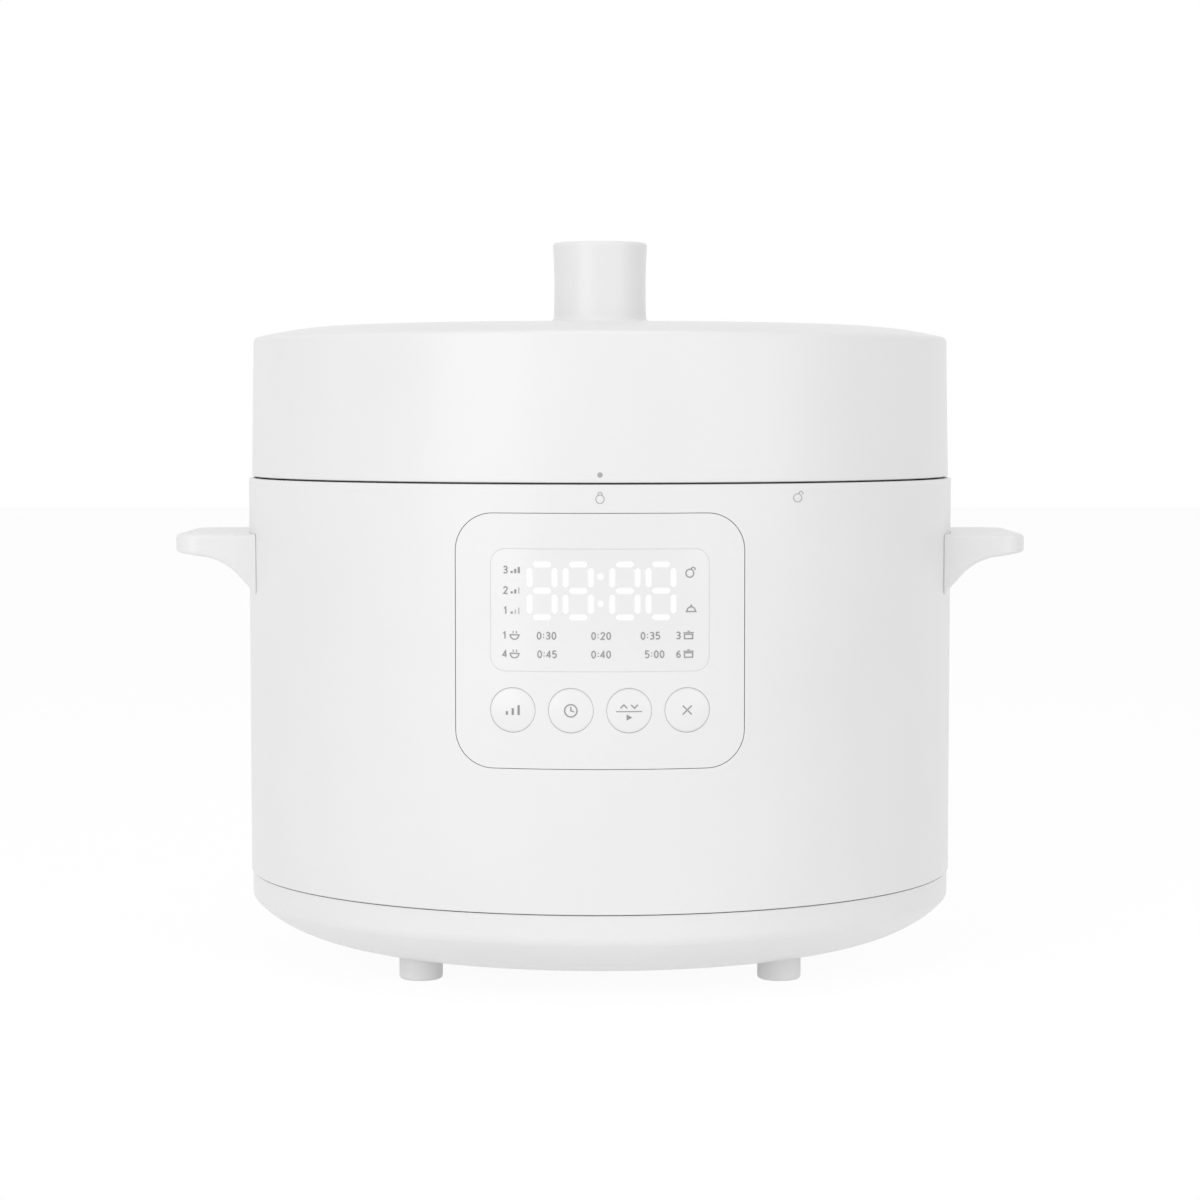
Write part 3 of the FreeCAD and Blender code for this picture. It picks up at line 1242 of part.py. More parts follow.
def make_display_board():
    """Board behind the panel, screwed to its posts."""
    half_w, half_h = DISPLAY_BOARD_WIDTH / 2, DISPLAY_BOARD_HEIGHT / 2
    back = DISPLAY_BOARD_Y + BOARD_THICK
    low, high = PANEL_CENTRE_Z - half_h, PANEL_CENTRE_Z + half_h
    board = block((-half_w, half_w), (DISPLAY_BOARD_Y, back), (low, high))
    return board.cut([bar_y(SMALL_SCREW_RADIUS + SCREW_PASS, x, z, DISPLAY_BOARD_Y, back)
                      for x, z in panel_boss_places()])


def make_digit_module():
    """Light box of the clock digits on the display board."""
    z = WINDOW_CENTRE_Z + DIGIT_RISE
    return plate_y(DIGIT_WIDTH, DIGIT_HEIGHT, DIGIT_ROUND, DISPLAY_BOARD_Y - DIGIT_THICK, DISPLAY_BOARD_Y, z)


def make_tact_switches():
    """Four small switches on the display board."""
    switches = []
    half = SWITCH_SIZE / 2
    top = DISPLAY_BOARD_Y - SWITCH_HEIGHT
    for x in button_places():
        body = block((x - half, x + half), (top, DISPLAY_BOARD_Y), (BUTTON_Z - half, BUTTON_Z + half))
        plunger = bar_y(SWITCH_PLUNGER_RADIUS, x, BUTTON_Z, top - SWITCH_PLUNGER, top)
        switches.append(joined([body, plunger]))
    return group(switches)


def make_panel_screws():
    """Screws that hold the display board to the panel posts."""
    screws = []
    back = DISPLAY_BOARD_Y + BOARD_THICK
    for x, z in panel_boss_places():
        head = bar_y(SMALL_HEAD_RADIUS, x, z, back, back + SMALL_HEAD_HEIGHT)
        shank = bar_y(SMALL_SCREW_RADIUS, x, z, DISPLAY_BOARD_Y - SMALL_SCREW_LENGTH + SCREW_TIP_GAP, back)
        screws.append(joined([head, shank]))
    return group(screws)


def make_button(x):
    """Domed push button that slides along Y in the panel."""
    front = surface_y(x, BUTTON_Z)
    tilt = math.asin(x / wall_radius(BUTTON_Z))
    sink = BUTTON_DOME - BUTTON_PROUD
    dome_centre = Vector(x - math.sin(tilt) * sink, -front + math.cos(tilt) * sink, BUTTON_Z)
    flange_radius = BUTTON_RADIUS + BUTTON_FLANGE
    seat = BUTTON_BACK_GAP - surface_y(abs(x) + flange_radius, BUTTON_Z, PANEL_DEPTH)
    flange_back = seat + BUTTON_FLANGE_THICK
    nub_end = DISPLAY_BOARD_Y - SWITCH_HEIGHT - SWITCH_PLUNGER - BUTTON_TRAVEL - SWITCH_GAP
    body = bar_y(BUTTON_RADIUS, x, BUTTON_Z, FRONT_Y, flange_back)
    key = body.common(Part.makeSphere(BUTTON_DOME, dome_centre))
    flange = bar_y(flange_radius, x, BUTTON_Z, seat, flange_back)
    nub = bar_y(BUTTON_NUB_RADIUS, x, BUTTON_Z, seat, nub_end)
    return joined([key, flange, nub])


# Lid

def dome_edges(inset, start):
    """Crown and shoulder arcs of the dome, inside its surface by an inset, from a start radius outwards."""
    crown_centre = rz(0, DOME_TOP_Z - CROWN_ROUND)
    crown, shoulder = CROWN_ROUND - inset, SHOULDER_ROUND - inset
    lean = rz(math.sin(CROWN_ANGLE), math.cos(CROWN_ANGLE))
    shoulder_centre = crown_centre + lean * (CROWN_ROUND - SHOULDER_ROUND)
    first = math.asin(start / crown)
    end = math.asin((LID_TOP_RADIUS - inset - shoulder_centre.x) / shoulder)

    def on_arc(centre, radius, angle):
        return centre + rz(math.sin(angle), math.cos(angle)) * radius

    top = Part.Arc(on_arc(crown_centre, crown, first), on_arc(crown_centre, crown, (first + CROWN_ANGLE) / 2),
                   on_arc(crown_centre, crown, CROWN_ANGLE))
    side = Part.Arc(on_arc(shoulder_centre, shoulder, CROWN_ANGLE),
                    on_arc(shoulder_centre, shoulder, (CROWN_ANGLE + end) / 2),
                    on_arc(shoulder_centre, shoulder, end))
    return [top.toShape(), side.toShape()]


def chain(points):
    """Straight edges through points."""
    return [Part.makeLine(a, b) for a, b in zip(points, points[1:])]


def lid_hollow():
    """Solid inside the lid cover's wall and dome."""
    dome = dome_edges(LID_WALL, 0)
    rim = dome[1].Vertexes[-1].Point
    crown = dome[0].Vertexes[0].Point
    return spun(dome + chain([rim, rz(LID_RADIUS - LID_WALL, LID_LOW_Z), rz(0, LID_LOW_Z), crown]))


def lid_solid():
    """Solid inside the lid cover's outer surface: wall, dome and a knob that narrows at its waist."""
    dome = dome_edges(0, KNOB_FOOT_RADIUS)
    rim = dome[1].Vertexes[-1].Point
    foot = dome[0].Vertexes[0].Point
    waist = rz(KNOB_WAIST_RADIUS, (DOME_TOP_Z + KNOB_TOP_Z) / 2)
    top = rz(KNOB_TOP_RADIUS, KNOB_TOP_Z)
    knob = Part.Arc(foot, waist, top).toShape()
    corners = [rim, rz(LID_RADIUS, LID_LOW_Z), rz(0, LID_LOW_Z), rz(0, KNOB_TOP_Z), top]
    solid = spun(Part.sortEdges(dome + chain(corners) + [knob])[0])
    rounds = [(LID_EDGE_ROUND, LID_TOP_RADIUS, LID_RIM_Z), (LID_FOOT_ROUND, LID_RADIUS, LID_LOW_Z),
              (KNOB_EDGE_ROUND, KNOB_TOP_RADIUS, KNOB_TOP_Z), (KNOB_FOOT_ROUND, KNOB_FOOT_RADIUS, foot.z)]
    for size, radius, z in rounds:
        solid = solid.makeFillet(size, circle_edges(solid, radius, z))
    return solid


def make_lid_cover():
    """Outer lid: wall, dome and hollow knob in one moulding, with screw bosses inside."""
    outer = lid_solid()
    bosses = [disc(LID_BOSS_RADIUS, LINER_TOP_Z, DOME_TOP_Z, polar(LID_BOSS_CIRCLE, angle)).common(outer)
              for angle in LID_BOSS_ANGLES]
    mouth_z = KNOB_TOP_Z - KNOB_MOUTH_LIP
    hollow = joined([lid_hollow(), disc(KNOB_BORE, DOME_TOP_Z - 2 * LID_WALL, mouth_z),
                     disc(KNOB_MOUTH, mouth_z - OVERSHOOT, KNOB_TOP_Z + OVERSHOOT)])
    ledge = tube(KNOB_BORE + KNOB_EDGE_ROUND, LEDGE_BORE, LEDGE_LOW_Z, LEDGE_TOP_Z)
    cover = joined([outer.cut(hollow), ledge] + bosses)
    pilot_top = LINER_TOP_Z + LID_SCREW_LENGTH
    pilots = [disc(SCREW_RADIUS + SCREW_FIT, LINER_TOP_Z, pilot_top, polar(LID_BOSS_CIRCLE, angle))
              for angle in LID_BOSS_ANGLES]
    return cover.cut(pilots)


def make_lid_liner():
    """Plate that closes the lid cover from below and carries the mechanisms."""
    outer = LID_TOP_RADIUS - LID_WALL - LINER_SIDE_GAP
    plate = tube(outer, LINER_HOLE, PAN_TOP_Z, LINER_TOP_Z)
    holes = [(SCREW_RADIUS + SCREW_PASS, polar(LID_BOSS_CIRCLE, angle)) for angle in LID_BOSS_ANGLES]
    holes += [(STUD_RADIUS + STUD_FIT, polar(STUD_CIRCLE, angle)) for angle in STUD_ANGLES]
    holes.append((SEAT_FLANGE_RADIUS + FLOAT_FIT, polar(FLOAT_CIRCLE, LOCK_DEG)))
    cuts = [disc(radius, PAN_TOP_Z, LINER_TOP_Z, place) for radius, place in holes]
    half = FINGER_WIDTH / 2 + SCREW_PASS
    reach = FINGER_INNER + FINGER_THICK + LOCK_TRAVEL + SCREW_PASS
    slot = block((FINGER_INNER - SCREW_PASS, reach), (-half, half), (PAN_TOP_Z, LINER_TOP_Z))
    return plate.cut(cuts + [turned(slot, LOCK_DEG)])


def make_lid_pan():
    """Pressure lid: a steel dish with bayonet lugs and mounting studs."""
    lug_low = LUG_TOP_Z - LUG_THICK
    parts = [disc(PAN_OUTER, PAN_LOW_Z, PAN_TOP_Z), tube(PAN_OUTER, PAN_INNER, lug_low, PAN_TOP_Z)]
    lug_outer = RING_INNER - LUG_SIDE_GAP
    for i in range(TOOTH_COUNT):
        start = 360 * i / TOOTH_COUNT - TOOTH_DEG / 2
        parts.append(sector(PAN_INNER + PAN_SHEET / 2, lug_outer, lug_low, LUG_TOP_Z, start, TOOTH_DEG))
    stud_top = LINER_TOP_Z + STUD_NUT_HEIGHT + STUD_RADIUS
    parts += [disc(STUD_RADIUS, PAN_LOW_Z, stud_top, polar(STUD_CIRCLE, a)) for a in STUD_ANGLES]
    holes = [disc(PIPE_RADIUS + PIPE_FIT, PAN_LOW_Z, PAN_TOP_Z),
             disc(SEAT_RADIUS + FLOAT_FIT, PAN_LOW_Z, PAN_TOP_Z, polar(FLOAT_CIRCLE, LOCK_DEG))]
    return joined(parts).cut(holes)


def make_seal_ring():
    """Silicone ring with a lip groove, between the pan and the pot rim."""
    outer = PAN_INNER - SEAL_SIDE_GAP
    inner = outer - SEAL_LIP
    low = POT_RIM_Z + SEAL_GAP
    ring = tube(outer, inner, low, PAN_LOW_Z)
    middle = (low + PAN_LOW_Z) / 2
    groove = tube(inner + SEAL_LIP / 2, inner - OVERSHOOT, middle - SEAL_GROOVE / 2, middle + SEAL_GROOVE / 2)
    return ring.cut(groove)


def make_pan_nuts():
    """Nuts on the pan studs, over the liner."""
    nuts = []
    for angle in STUD_ANGLES:
        place = polar(STUD_CIRCLE, angle)
        top = LINER_TOP_Z + STUD_NUT_HEIGHT
        bore = disc(STUD_RADIUS + SCREW_FIT, LINER_TOP_Z, top, place)
        nuts.append(hexagon(STUD_NUT_FLATS, LINER_TOP_Z, top, place).cut(bore))
    return group(nuts)


def make_lid_screws():
    """Screws through the liner into the cover's bosses."""
    screws = []
    for angle in LID_BOSS_ANGLES:
        place = polar(LID_BOSS_CIRCLE, angle)
        head = disc(SCREW_HEAD_RADIUS, PAN_TOP_Z - SCREW_HEAD_HEIGHT, PAN_TOP_Z, place)
        shank = disc(SCREW_RADIUS, PAN_TOP_Z, LINER_TOP_Z + LID_SCREW_LENGTH - SCREW_TIP_GAP, place)
        screws.append(joined([head, shank]))
    return group(screws)


def make_exhaust_pipe():
    """Exhaust pipe on the axis, with a flange under the pan."""
    flange_top = PAN_LOW_Z - SEAT_GAP
    pipe = joined([disc(PIPE_FLANGE_RADIUS, flange_top - PIPE_FLANGE, flange_top),
                   disc(PIPE_RADIUS, flange_top - PIPE_FLANGE, PIPE_TOP_Z)])
    return pipe.cut(disc(PIPE_BORE, flange_top - PIPE_FLANGE, PIPE_TOP_Z))


def make_exhaust_nut():
    """Nut that holds the pipe on the pan."""
    low = PAN_TOP_Z + SEAT_GAP
    nut = hexagon(PIPE_NUT_FLATS, low, low + PIPE_NUT_HEIGHT)
    return nut.cut(disc(PIPE_RADIUS + PIPE_FIT, low, low + PIPE_NUT_HEIGHT))


def make_steam_shield():
    """Slotted cap under the pan that keeps food out of the pipe."""
    low = PAN_LOW_Z - SHIELD_HEIGHT
    hollow = disc(SHIELD_RADIUS - SHIELD_WALL, low + SHIELD_WALL, PAN_LOW_Z)
    cap = disc(SHIELD_RADIUS, low, PAN_LOW_Z).cut(hollow)
    slot_low, slot_high = low + 2 * SHIELD_WALL, PAN_LOW_Z - 2 * SHIELD_WALL
    slots = []
    for i in range(SHIELD_SLOTS):
        half = SHIELD_SLOT / 2
        slot = block((SHIELD_RADIUS / 2, SHIELD_RADIUS + OVERSHOOT), (-half, half), (slot_low, slot_high))
        slots.append(turned(slot, 360 * i / SHIELD_SLOTS))
    return cap.cut(slots)


# Steam release

def make_limit_valve():
    """Weight that sits over the pipe with a needle in its bore."""
    ceiling = PIPE_TOP_Z + WEIGHT_GAP
    bore = PIPE_RADIUS + WEIGHT_FIT
    needle = PIPE_BORE - NEEDLE_FIT
    flange_top = WEIGHT_LOW_Z + WEIGHT_FLANGE
    top = ceiling + WEIGHT_HEIGHT
    weight = spun_polygon([
        (0, ceiling - NEEDLE_LENGTH), (needle, ceiling - NEEDLE_FIT), (needle, ceiling), (bore, ceiling),
        (bore, WEIGHT_LOW_Z), (WEIGHT_FLANGE_RADIUS, WEIGHT_LOW_Z), (WEIGHT_FLANGE_RADIUS, flange_top),
        (WEIGHT_RADIUS, flange_top), (WEIGHT_RADIUS, top), (0, top)])
    return weight.makeFillet(WEIGHT_ROUND, circle_edges(weight, WEIGHT_RADIUS, top))


def make_vent_button():
    """Steam release button in the knob's mouth, with a guide stem."""
    cap = disc(VENT_BUTTON_RADIUS, VENT_CAP_LOW_Z, VENT_CAP_TOP_Z)
    cap = cap.makeFillet(VENT_BUTTON_ROUND, circle_edges(cap, VENT_BUTTON_RADIUS, VENT_CAP_TOP_Z))
    stem = tube(VENT_STEM_RADIUS, VENT_STEM_RADIUS - VENT_STEM_WALL, VENT_STEM_LOW_Z, VENT_CAP_LOW_Z)
    return joined([cap, stem])


def make_vent_pushrod():
    """Rod that carries the button's push past the weight to the lever."""
    ring_low = VENT_STEM_LOW_Z - ROD_RING_THICK
    spigot = VENT_STEM_RADIUS - VENT_STEM_WALL - ROD_SPIGOT_FIT
    half = ROD_LEG_WIDTH / 2
    leg_outer = ROD_LEG_INNER + ROD_LEG_THICK
    foot_end = LEVER_PUSH_X + LEVER_END
    foot_top = ROD_FOOT_LOW_Z + ROD_FOOT_THICK
    ring = disc(ROD_RING_RADIUS, ring_low, VENT_STEM_LOW_Z)
    parts = [ring, disc(spigot, VENT_STEM_LOW_Z, VENT_STEM_LOW_Z + ROD_SPIGOT),
             block((0, leg_outer), (-half, half), (ring_low, VENT_STEM_LOW_Z)),
             block((ROD_LEG_INNER, leg_outer), (-half, half), (ROD_FOOT_LOW_Z, VENT_STEM_LOW_Z)),
             block((ROD_LEG_INNER, foot_end), (-half, half), (ROD_FOOT_LOW_Z, foot_top)),
             block((LEVER_PUSH_X, foot_end), (-half, half), (LEVER_TOP_Z + LEVER_GAP, foot_top))]
    return joined(parts).cut(disc(ROD_BORE, ring_low, VENT_STEM_LOW_Z + ROD_SPIGOT))


def make_vent_spring():
    """Spring that returns the release button."""
    return coil(VENT_SPRING_RADIUS, VENT_SPRING_WIRE, VENT_SPRING_TURNS, LEDGE_TOP_Z, VENT_CAP_LOW_Z)


def make_vent_lever():
    """Forked lever: the rod pushes one end down and the fork lifts the weight."""
    half = LEVER_WIDTH / 2
    low = LEVER_TOP_Z - LEVER_THICK
    arm = block((LEVER_LIFT_X, LEVER_PUSH_X + LEVER_END), (-half, half), (low, LEVER_TOP_Z))
    hub = bar_y(LEVER_HUB_RADIUS, LEVER_PIVOT_X, LEVER_PIVOT_Z, -half, half)
    gap = PIPE_RADIUS + LEVER_SLOT_GAP
    slot_end = LEVER_PIVOT_X - LEVER_HUB_RADIUS
    slot = block((LEVER_LIFT_X - OVERSHOOT, slot_end), (-gap, gap), (low, LEVER_TOP_Z))
    bore = bar_y(LEVER_PIN_RADIUS + LEVER_PIN_FIT, LEVER_PIVOT_X, LEVER_PIVOT_Z, -half, half)
    return joined([arm.cut(slot), hub]).cut(bore)


def ear_span():
    """Inner and outer place of the lever bracket's ears along Y."""
    inner = LEVER_WIDTH / 2 + EAR_GAP
    return inner, inner + EAR_THICK


def make_lever_bracket():
    """Two ears on the liner that hold the lever's pin."""
    inner, outer = ear_span()
    top = LEVER_PIVOT_Z + LEVER_HUB_RADIUS
    low_x, high_x = LEVER_PIVOT_X - EAR_WIDTH / 2, LEVER_PIVOT_X + EAR_WIDTH / 2
    ears = [block((low_x, high_x), span, (LINER_TOP_Z, top)) for span in ((-outer, -inner), (inner, outer))]
    bridge = block((LEVER_PIVOT_X, high_x), (-outer, outer), (LINER_TOP_Z, LINER_TOP_Z + EAR_THICK))
    bore = bar_y(LEVER_PIN_RADIUS + SCREW_FIT, LEVER_PIVOT_X, LEVER_PIVOT_Z, -outer, outer)
    return joined(ears + [bridge]).cut(bore)


def make_lever_pin():
    """Pivot pin of the lever."""
    outer = ear_span()[1]
    return bar_y(LEVER_PIN_RADIUS, LEVER_PIVOT_X, LEVER_PIVOT_Z, -outer, outer)


# Float valve and interlock

def make_float_pin():
    """Float that rises with pressure: a stem with a head above and a foot below the pan."""
    place = polar(FLOAT_CIRCLE, LOCK_DEG)
    seal_low = FLOAT_SEAL_TOP_Z - FLOAT_SEAL_HEIGHT
    return joined([disc(FLOAT_RADIUS, seal_low, FLOAT_HEAD_Z, place),
                   disc(FLOAT_HEAD_RADIUS, FLOAT_HEAD_Z, FLOAT_HEAD_Z + FLOAT_HEAD_HEIGHT, place),
                   disc(FLOAT_FOOT_RADIUS, seal_low - FLOAT_FOOT_HEIGHT, seal_low, place)])


def make_float_seal():
    """Silicone washer on the float's foot."""
    place = polar(FLOAT_CIRCLE, LOCK_DEG)
    low = FLOAT_SEAL_TOP_Z - FLOAT_SEAL_HEIGHT
    return tube(FLOAT_SEAL_RADIUS, FLOAT_RADIUS + SCREW_FIT, low, FLOAT_SEAL_TOP_Z, place)


def make_float_seat():
    """Bush in the pan that the float slides in."""
    place = polar(FLOAT_CIRCLE, LOCK_DEG)
    top = PAN_TOP_Z + SEAT_FLANGE
    sleeve = disc(SEAT_RADIUS, PAN_LOW_Z, PAN_TOP_Z, place)
    bush = joined([sleeve, disc(SEAT_FLANGE_RADIUS, PAN_TOP_Z, top, place)])
    return bush.cut(disc(FLOAT_RADIUS + FLOAT_FIT, PAN_LOW_Z, top, place))


def make_lock_bar():
    """Sliding bar: the float rises through its hole, and its finger follows the ring's cam."""
    half = LOCK_BAR_WIDTH / 2
    reach = FINGER_INNER + FINGER_THICK
    bar = block((LOCK_BAR_INNER, reach), (-half, half), (LOCK_BAR_Z, LOCK_BAR_TOP_Z))
    finger_half = FINGER_WIDTH / 2
    finger = block((FINGER_INNER, reach), (-finger_half, finger_half), (FINGER_LOW_Z, LOCK_BAR_TOP_Z))
    hole = disc(FLOAT_HEAD_RADIUS + LOCK_HOLE_FIT, LOCK_BAR_Z, LOCK_BAR_TOP_Z, Vector(FLOAT_CIRCLE, 0, 0))
    return turned(joined([bar, finger]).cut(hole), LOCK_DEG)


def make_lock_guide():
    """Two frames that the lock bar slides through, and the post that its spring pulls on."""
    inner = LOCK_BAR_WIDTH / 2 + GUIDE_FIT
    outer = inner + GUIDE_WALL
    top = LOCK_BAR_TOP_Z + GUIDE_FIT + GUIDE_WALL
    pieces = []
    for inset in GUIDE_INSETS:
        circle = PAN_INNER - inset
        ends = (circle - GUIDE_LENGTH / 2, circle + GUIDE_LENGTH / 2)
        frame = block(ends, (-outer, outer), (LINER_TOP_Z, top))
        window = block(ends, (-inner, inner), (LOCK_BAR_Z - SEAT_GAP, LOCK_BAR_TOP_Z + GUIDE_FIT))
        pieces.append(turned(frame.cut(window), LOCK_DEG))
    post_end = LOCK_BAR_INNER - LOCK_SPRING_LENGTH
    post = block((post_end - LOCK_POST, post_end), (-LOCK_POST, LOCK_POST), (LINER_TOP_Z, top))
    return group(pieces + [turned(post, LOCK_DEG)])


def make_lock_spring():
    """Spring between the post and the lock bar's inner end."""
    spring = coil(LOCK_SPRING_RADIUS, LOCK_SPRING_WIRE, LOCK_SPRING_TURNS, 0, LOCK_SPRING_LENGTH)
    spring.rotate(ORIGIN, Y_AXIS, 90)
    spring.translate(rz(LOCK_BAR_INNER - LOCK_SPRING_LENGTH, (LOCK_BAR_Z + LOCK_BAR_TOP_Z) / 2))
    return turned(spring, LOCK_DEG)


PIECES = {
    "outer_housing": make_outer_housing,
    "top_collar": make_top_collar,
    "bottom_base": make_bottom_base,
    "rubber_feet": make_rubber_feet,
    "base_screws": make_base_screws,
    "handle_screws": make_handle_screws,
    "power_inlet": make_power_inlet,
    "inlet_pins": make_inlet_pins,
    "power_board": make_power_board,
    "board_screws": make_board_screws,
    "transformer": make_transformer,
    "relay": make_relay,
    "capacitors": make_capacitors,
    "terminal_block": make_terminal_block,
    "wiring": make_wiring,
    "outer_pot": make_outer_pot,
    "bayonet_ring": make_bayonet_ring,
    "inner_pot": make_inner_pot,
    "heating_plate": make_heating_plate,
    "heating_element": make_heating_element,
    "spring_plate": make_spring_plate,
    "sensor_cup": make_sensor_cup,
    "sensor_cap": make_sensor_cap,
    "sensor_spring": make_sensor_spring,
    "pressure_switch": make_pressure_switch,
    "thermal_fuse": make_thermal_fuse,
    "control_panel": make_control_panel,
    "display_window": make_display_window,
    "display_board": make_display_board,
    "digit_module": make_digit_module,
    "tact_switches": make_tact_switches,
    "panel_screws": make_panel_screws,
    "lid_cover": make_lid_cover,
    "lid_liner": make_lid_liner,
    "lid_pan": make_lid_pan,
    "seal_ring": make_seal_ring,
    "pan_nuts": make_pan_nuts,
    "lid_screws": make_lid_screws,
    "exhaust_pipe": make_exhaust_pipe,
    "exhaust_nut": make_exhaust_nut,
    "steam_shield": make_steam_shield,
    "limit_valve": make_limit_valve,
    "vent_button": make_vent_button,
    "vent_pushrod": make_vent_pushrod,
    "vent_spring": make_vent_spring,
    "vent_lever": make_vent_lever,
    "lever_bracket": make_lever_bracket,
    "lever_pin": make_lever_pin,
    "float_pin": make_float_pin,
    "float_seal": make_float_seal,
    "float_seat": make_float_seat,
    "lock_bar": make_lock_bar,
    "lock_guide": make_lock_guide,
    "lock_spring": make_lock_spring,
}


def main():
    """Builds every piece and writes its STEP file."""
    os.makedirs("parts", exist_ok=True)
    shapes = {name: make() for name, make in PIECES.items()}
    shapes["handle_left"] = make_handle(-1)
    shapes["handle_right"] = make_handle(1)
    for name, x in zip(BUTTON_NAMES, button_places()):
        shapes[name] = make_button(x)
    for name, shape in shapes.items():
        shape.exportStep(os.path.join("parts", name + ".step"))
        print(f"{name}: {len(shape.Solids)} solids, valid {shape.isValid()}, {shape.Volume:.0f} mm3")


main()
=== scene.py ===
import json
import math

import bmesh
import bpy
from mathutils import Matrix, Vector


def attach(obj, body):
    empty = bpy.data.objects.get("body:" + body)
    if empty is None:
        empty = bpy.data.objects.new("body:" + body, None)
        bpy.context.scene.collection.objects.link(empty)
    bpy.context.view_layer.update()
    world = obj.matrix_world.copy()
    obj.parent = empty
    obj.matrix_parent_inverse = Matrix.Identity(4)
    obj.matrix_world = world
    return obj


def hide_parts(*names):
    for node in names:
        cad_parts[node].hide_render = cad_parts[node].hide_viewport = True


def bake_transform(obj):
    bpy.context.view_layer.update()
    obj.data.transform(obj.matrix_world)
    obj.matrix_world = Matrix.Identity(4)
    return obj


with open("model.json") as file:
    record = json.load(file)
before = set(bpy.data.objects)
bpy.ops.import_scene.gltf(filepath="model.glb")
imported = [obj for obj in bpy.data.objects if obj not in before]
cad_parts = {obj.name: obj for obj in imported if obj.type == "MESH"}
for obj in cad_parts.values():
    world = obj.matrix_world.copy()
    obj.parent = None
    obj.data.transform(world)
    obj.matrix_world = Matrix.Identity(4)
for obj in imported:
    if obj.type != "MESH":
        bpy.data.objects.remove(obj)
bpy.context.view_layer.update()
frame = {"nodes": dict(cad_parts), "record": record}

MM = 0.001

# Sizes of the surfaces that carry the printed marks, in millimetres
WALL_RADIUS = 138.0
WALL_DRAFT = 0.3
WALL_HEIGHT = 153.8
LID_SEAM = 188.3
LID_RADIUS = 136.8
LID_DRAFT = 0.9
LID_HEIGHT = 53.9
KEY_DOME = 45.0
KEY_PROUD = 0.45
KEY_Z = 107.8
KEY_X = (-31.05, -10.35, 10.35, 31.05)
KEY_BODIES = ("taste_key", "timer_key", "start_key", "cancel_key")
LID_TURN = 31.0

# Printed marks: how far they stand off and how deep they reach in
INK_LIFT = 0.07
INK_SINK = 0.12
INK_STEP = 0.8

# Materials: where the colour drift starts and ends in its noise, and how strong grain and gloss drift are
DRIFT_SCALE = 14.0
DRIFT_LOW = 0.3
DRIFT_HIGH = 0.7
GLOSS_DRIFT = 0.03
GRAIN_STRENGTH = 0.12
STREAK_GLOSS_LOW = 0.06
STREAK_GLOSS_HIGH = 0.08
STREAK_STRENGTH = 0.15
STREAK_SPREAD = 0.05
GLOW_SCALE = 220.0
GLOW_SPREAD = 0.01
GLOW_ROUGH = 0.5
PLAIN_DETAIL = 2.0
STREAK_DETAIL = 4.0


def new_material(name):
    """Empty node material with its shader."""
    material = bpy.data.materials.new(name)
    material.use_nodes = True
    shader = material.node_tree.nodes["Principled BSDF"]
    return material, material.node_tree, shader


def add_node(tree, kind, **values):
    """New node with its input values set by name."""
    node = tree.nodes.new(kind)
    for key, value in values.items():
        node.inputs[key.replace("_", " ")].default_value = value
    return node


def object_noise(tree, scale, detail, stretch=(1, 1, 1)):
    """Noise in object space, as a node."""
    coords = tree.nodes.new("ShaderNodeTexCoord")
    mapping = tree.nodes.new("ShaderNodeMapping")
    mapping.inputs["Scale"].default_value = stretch
    noise = add_node(tree, "ShaderNodeTexNoise", Scale=scale, Detail=detail)
    tree.links.new(coords.outputs["Object"], mapping.inputs["Vector"])
    tree.links.new(mapping.outputs["Vector"], noise.inputs["Vector"])
    return noise


def vary_colour(tree, shader, noise, colour, spread):
    """Base colour that drifts a little with a noise."""
    ramp = tree.nodes.new("ShaderNodeValToRGB")
    ramp.color_ramp.elements[0].position = DRIFT_LOW
    ramp.color_ramp.elements[1].position = DRIFT_HIGH
    ramp.color_ramp.elements[0].color = [c * (1 - spread) for c in colour] + [1]
    ramp.color_ramp.elements[1].color = [min(1, c * (1 + spread)) for c in colour] + [1]
    tree.links.new(noise.outputs["Fac"], ramp.inputs["Fac"])
    tree.links.new(ramp.outputs["Color"], shader.inputs["Base Color"])


def vary_roughness(tree, shader, noise, low, high):
    """Roughness that drifts between two values with a noise."""
    spread = add_node(tree, "ShaderNodeMapRange", To_Min=low, To_Max=high)
    tree.links.new(noise.outputs["Fac"], spread.inputs["Value"])
    tree.links.new(spread.outputs["Result"], shader.inputs["Roughness"])


def add_bump(tree, shader, noise, depth, strength):
    """Fine relief from a noise, depth in metres."""
    bump = add_node(tree, "ShaderNodeBump", Strength=strength, Distance=depth)
    tree.links.new(noise.outputs["Fac"], bump.inputs["Height"])
    tree.links.new(bump.outputs["Normal"], shader.inputs["Normal"])


def moulded(name, colour, rough, grain=900.0, depth=0.00002, spread=0.012, specular=0.4):
    """Moulded plastic or rubber: even colour, fine grain and a slow drift in gloss."""
    material, tree, shader = new_material(name)
    slow = object_noise(tree, DRIFT_SCALE, PLAIN_DETAIL)
    fine = object_noise(tree, grain, PLAIN_DETAIL)
    vary_colour(tree, shader, slow, colour, spread)
    vary_roughness(tree, shader, slow, rough - GLOSS_DRIFT, rough + GLOSS_DRIFT)
    add_bump(tree, shader, fine, depth, GRAIN_STRENGTH)
    shader.inputs["Specular IOR Level"].default_value = specular
    return material


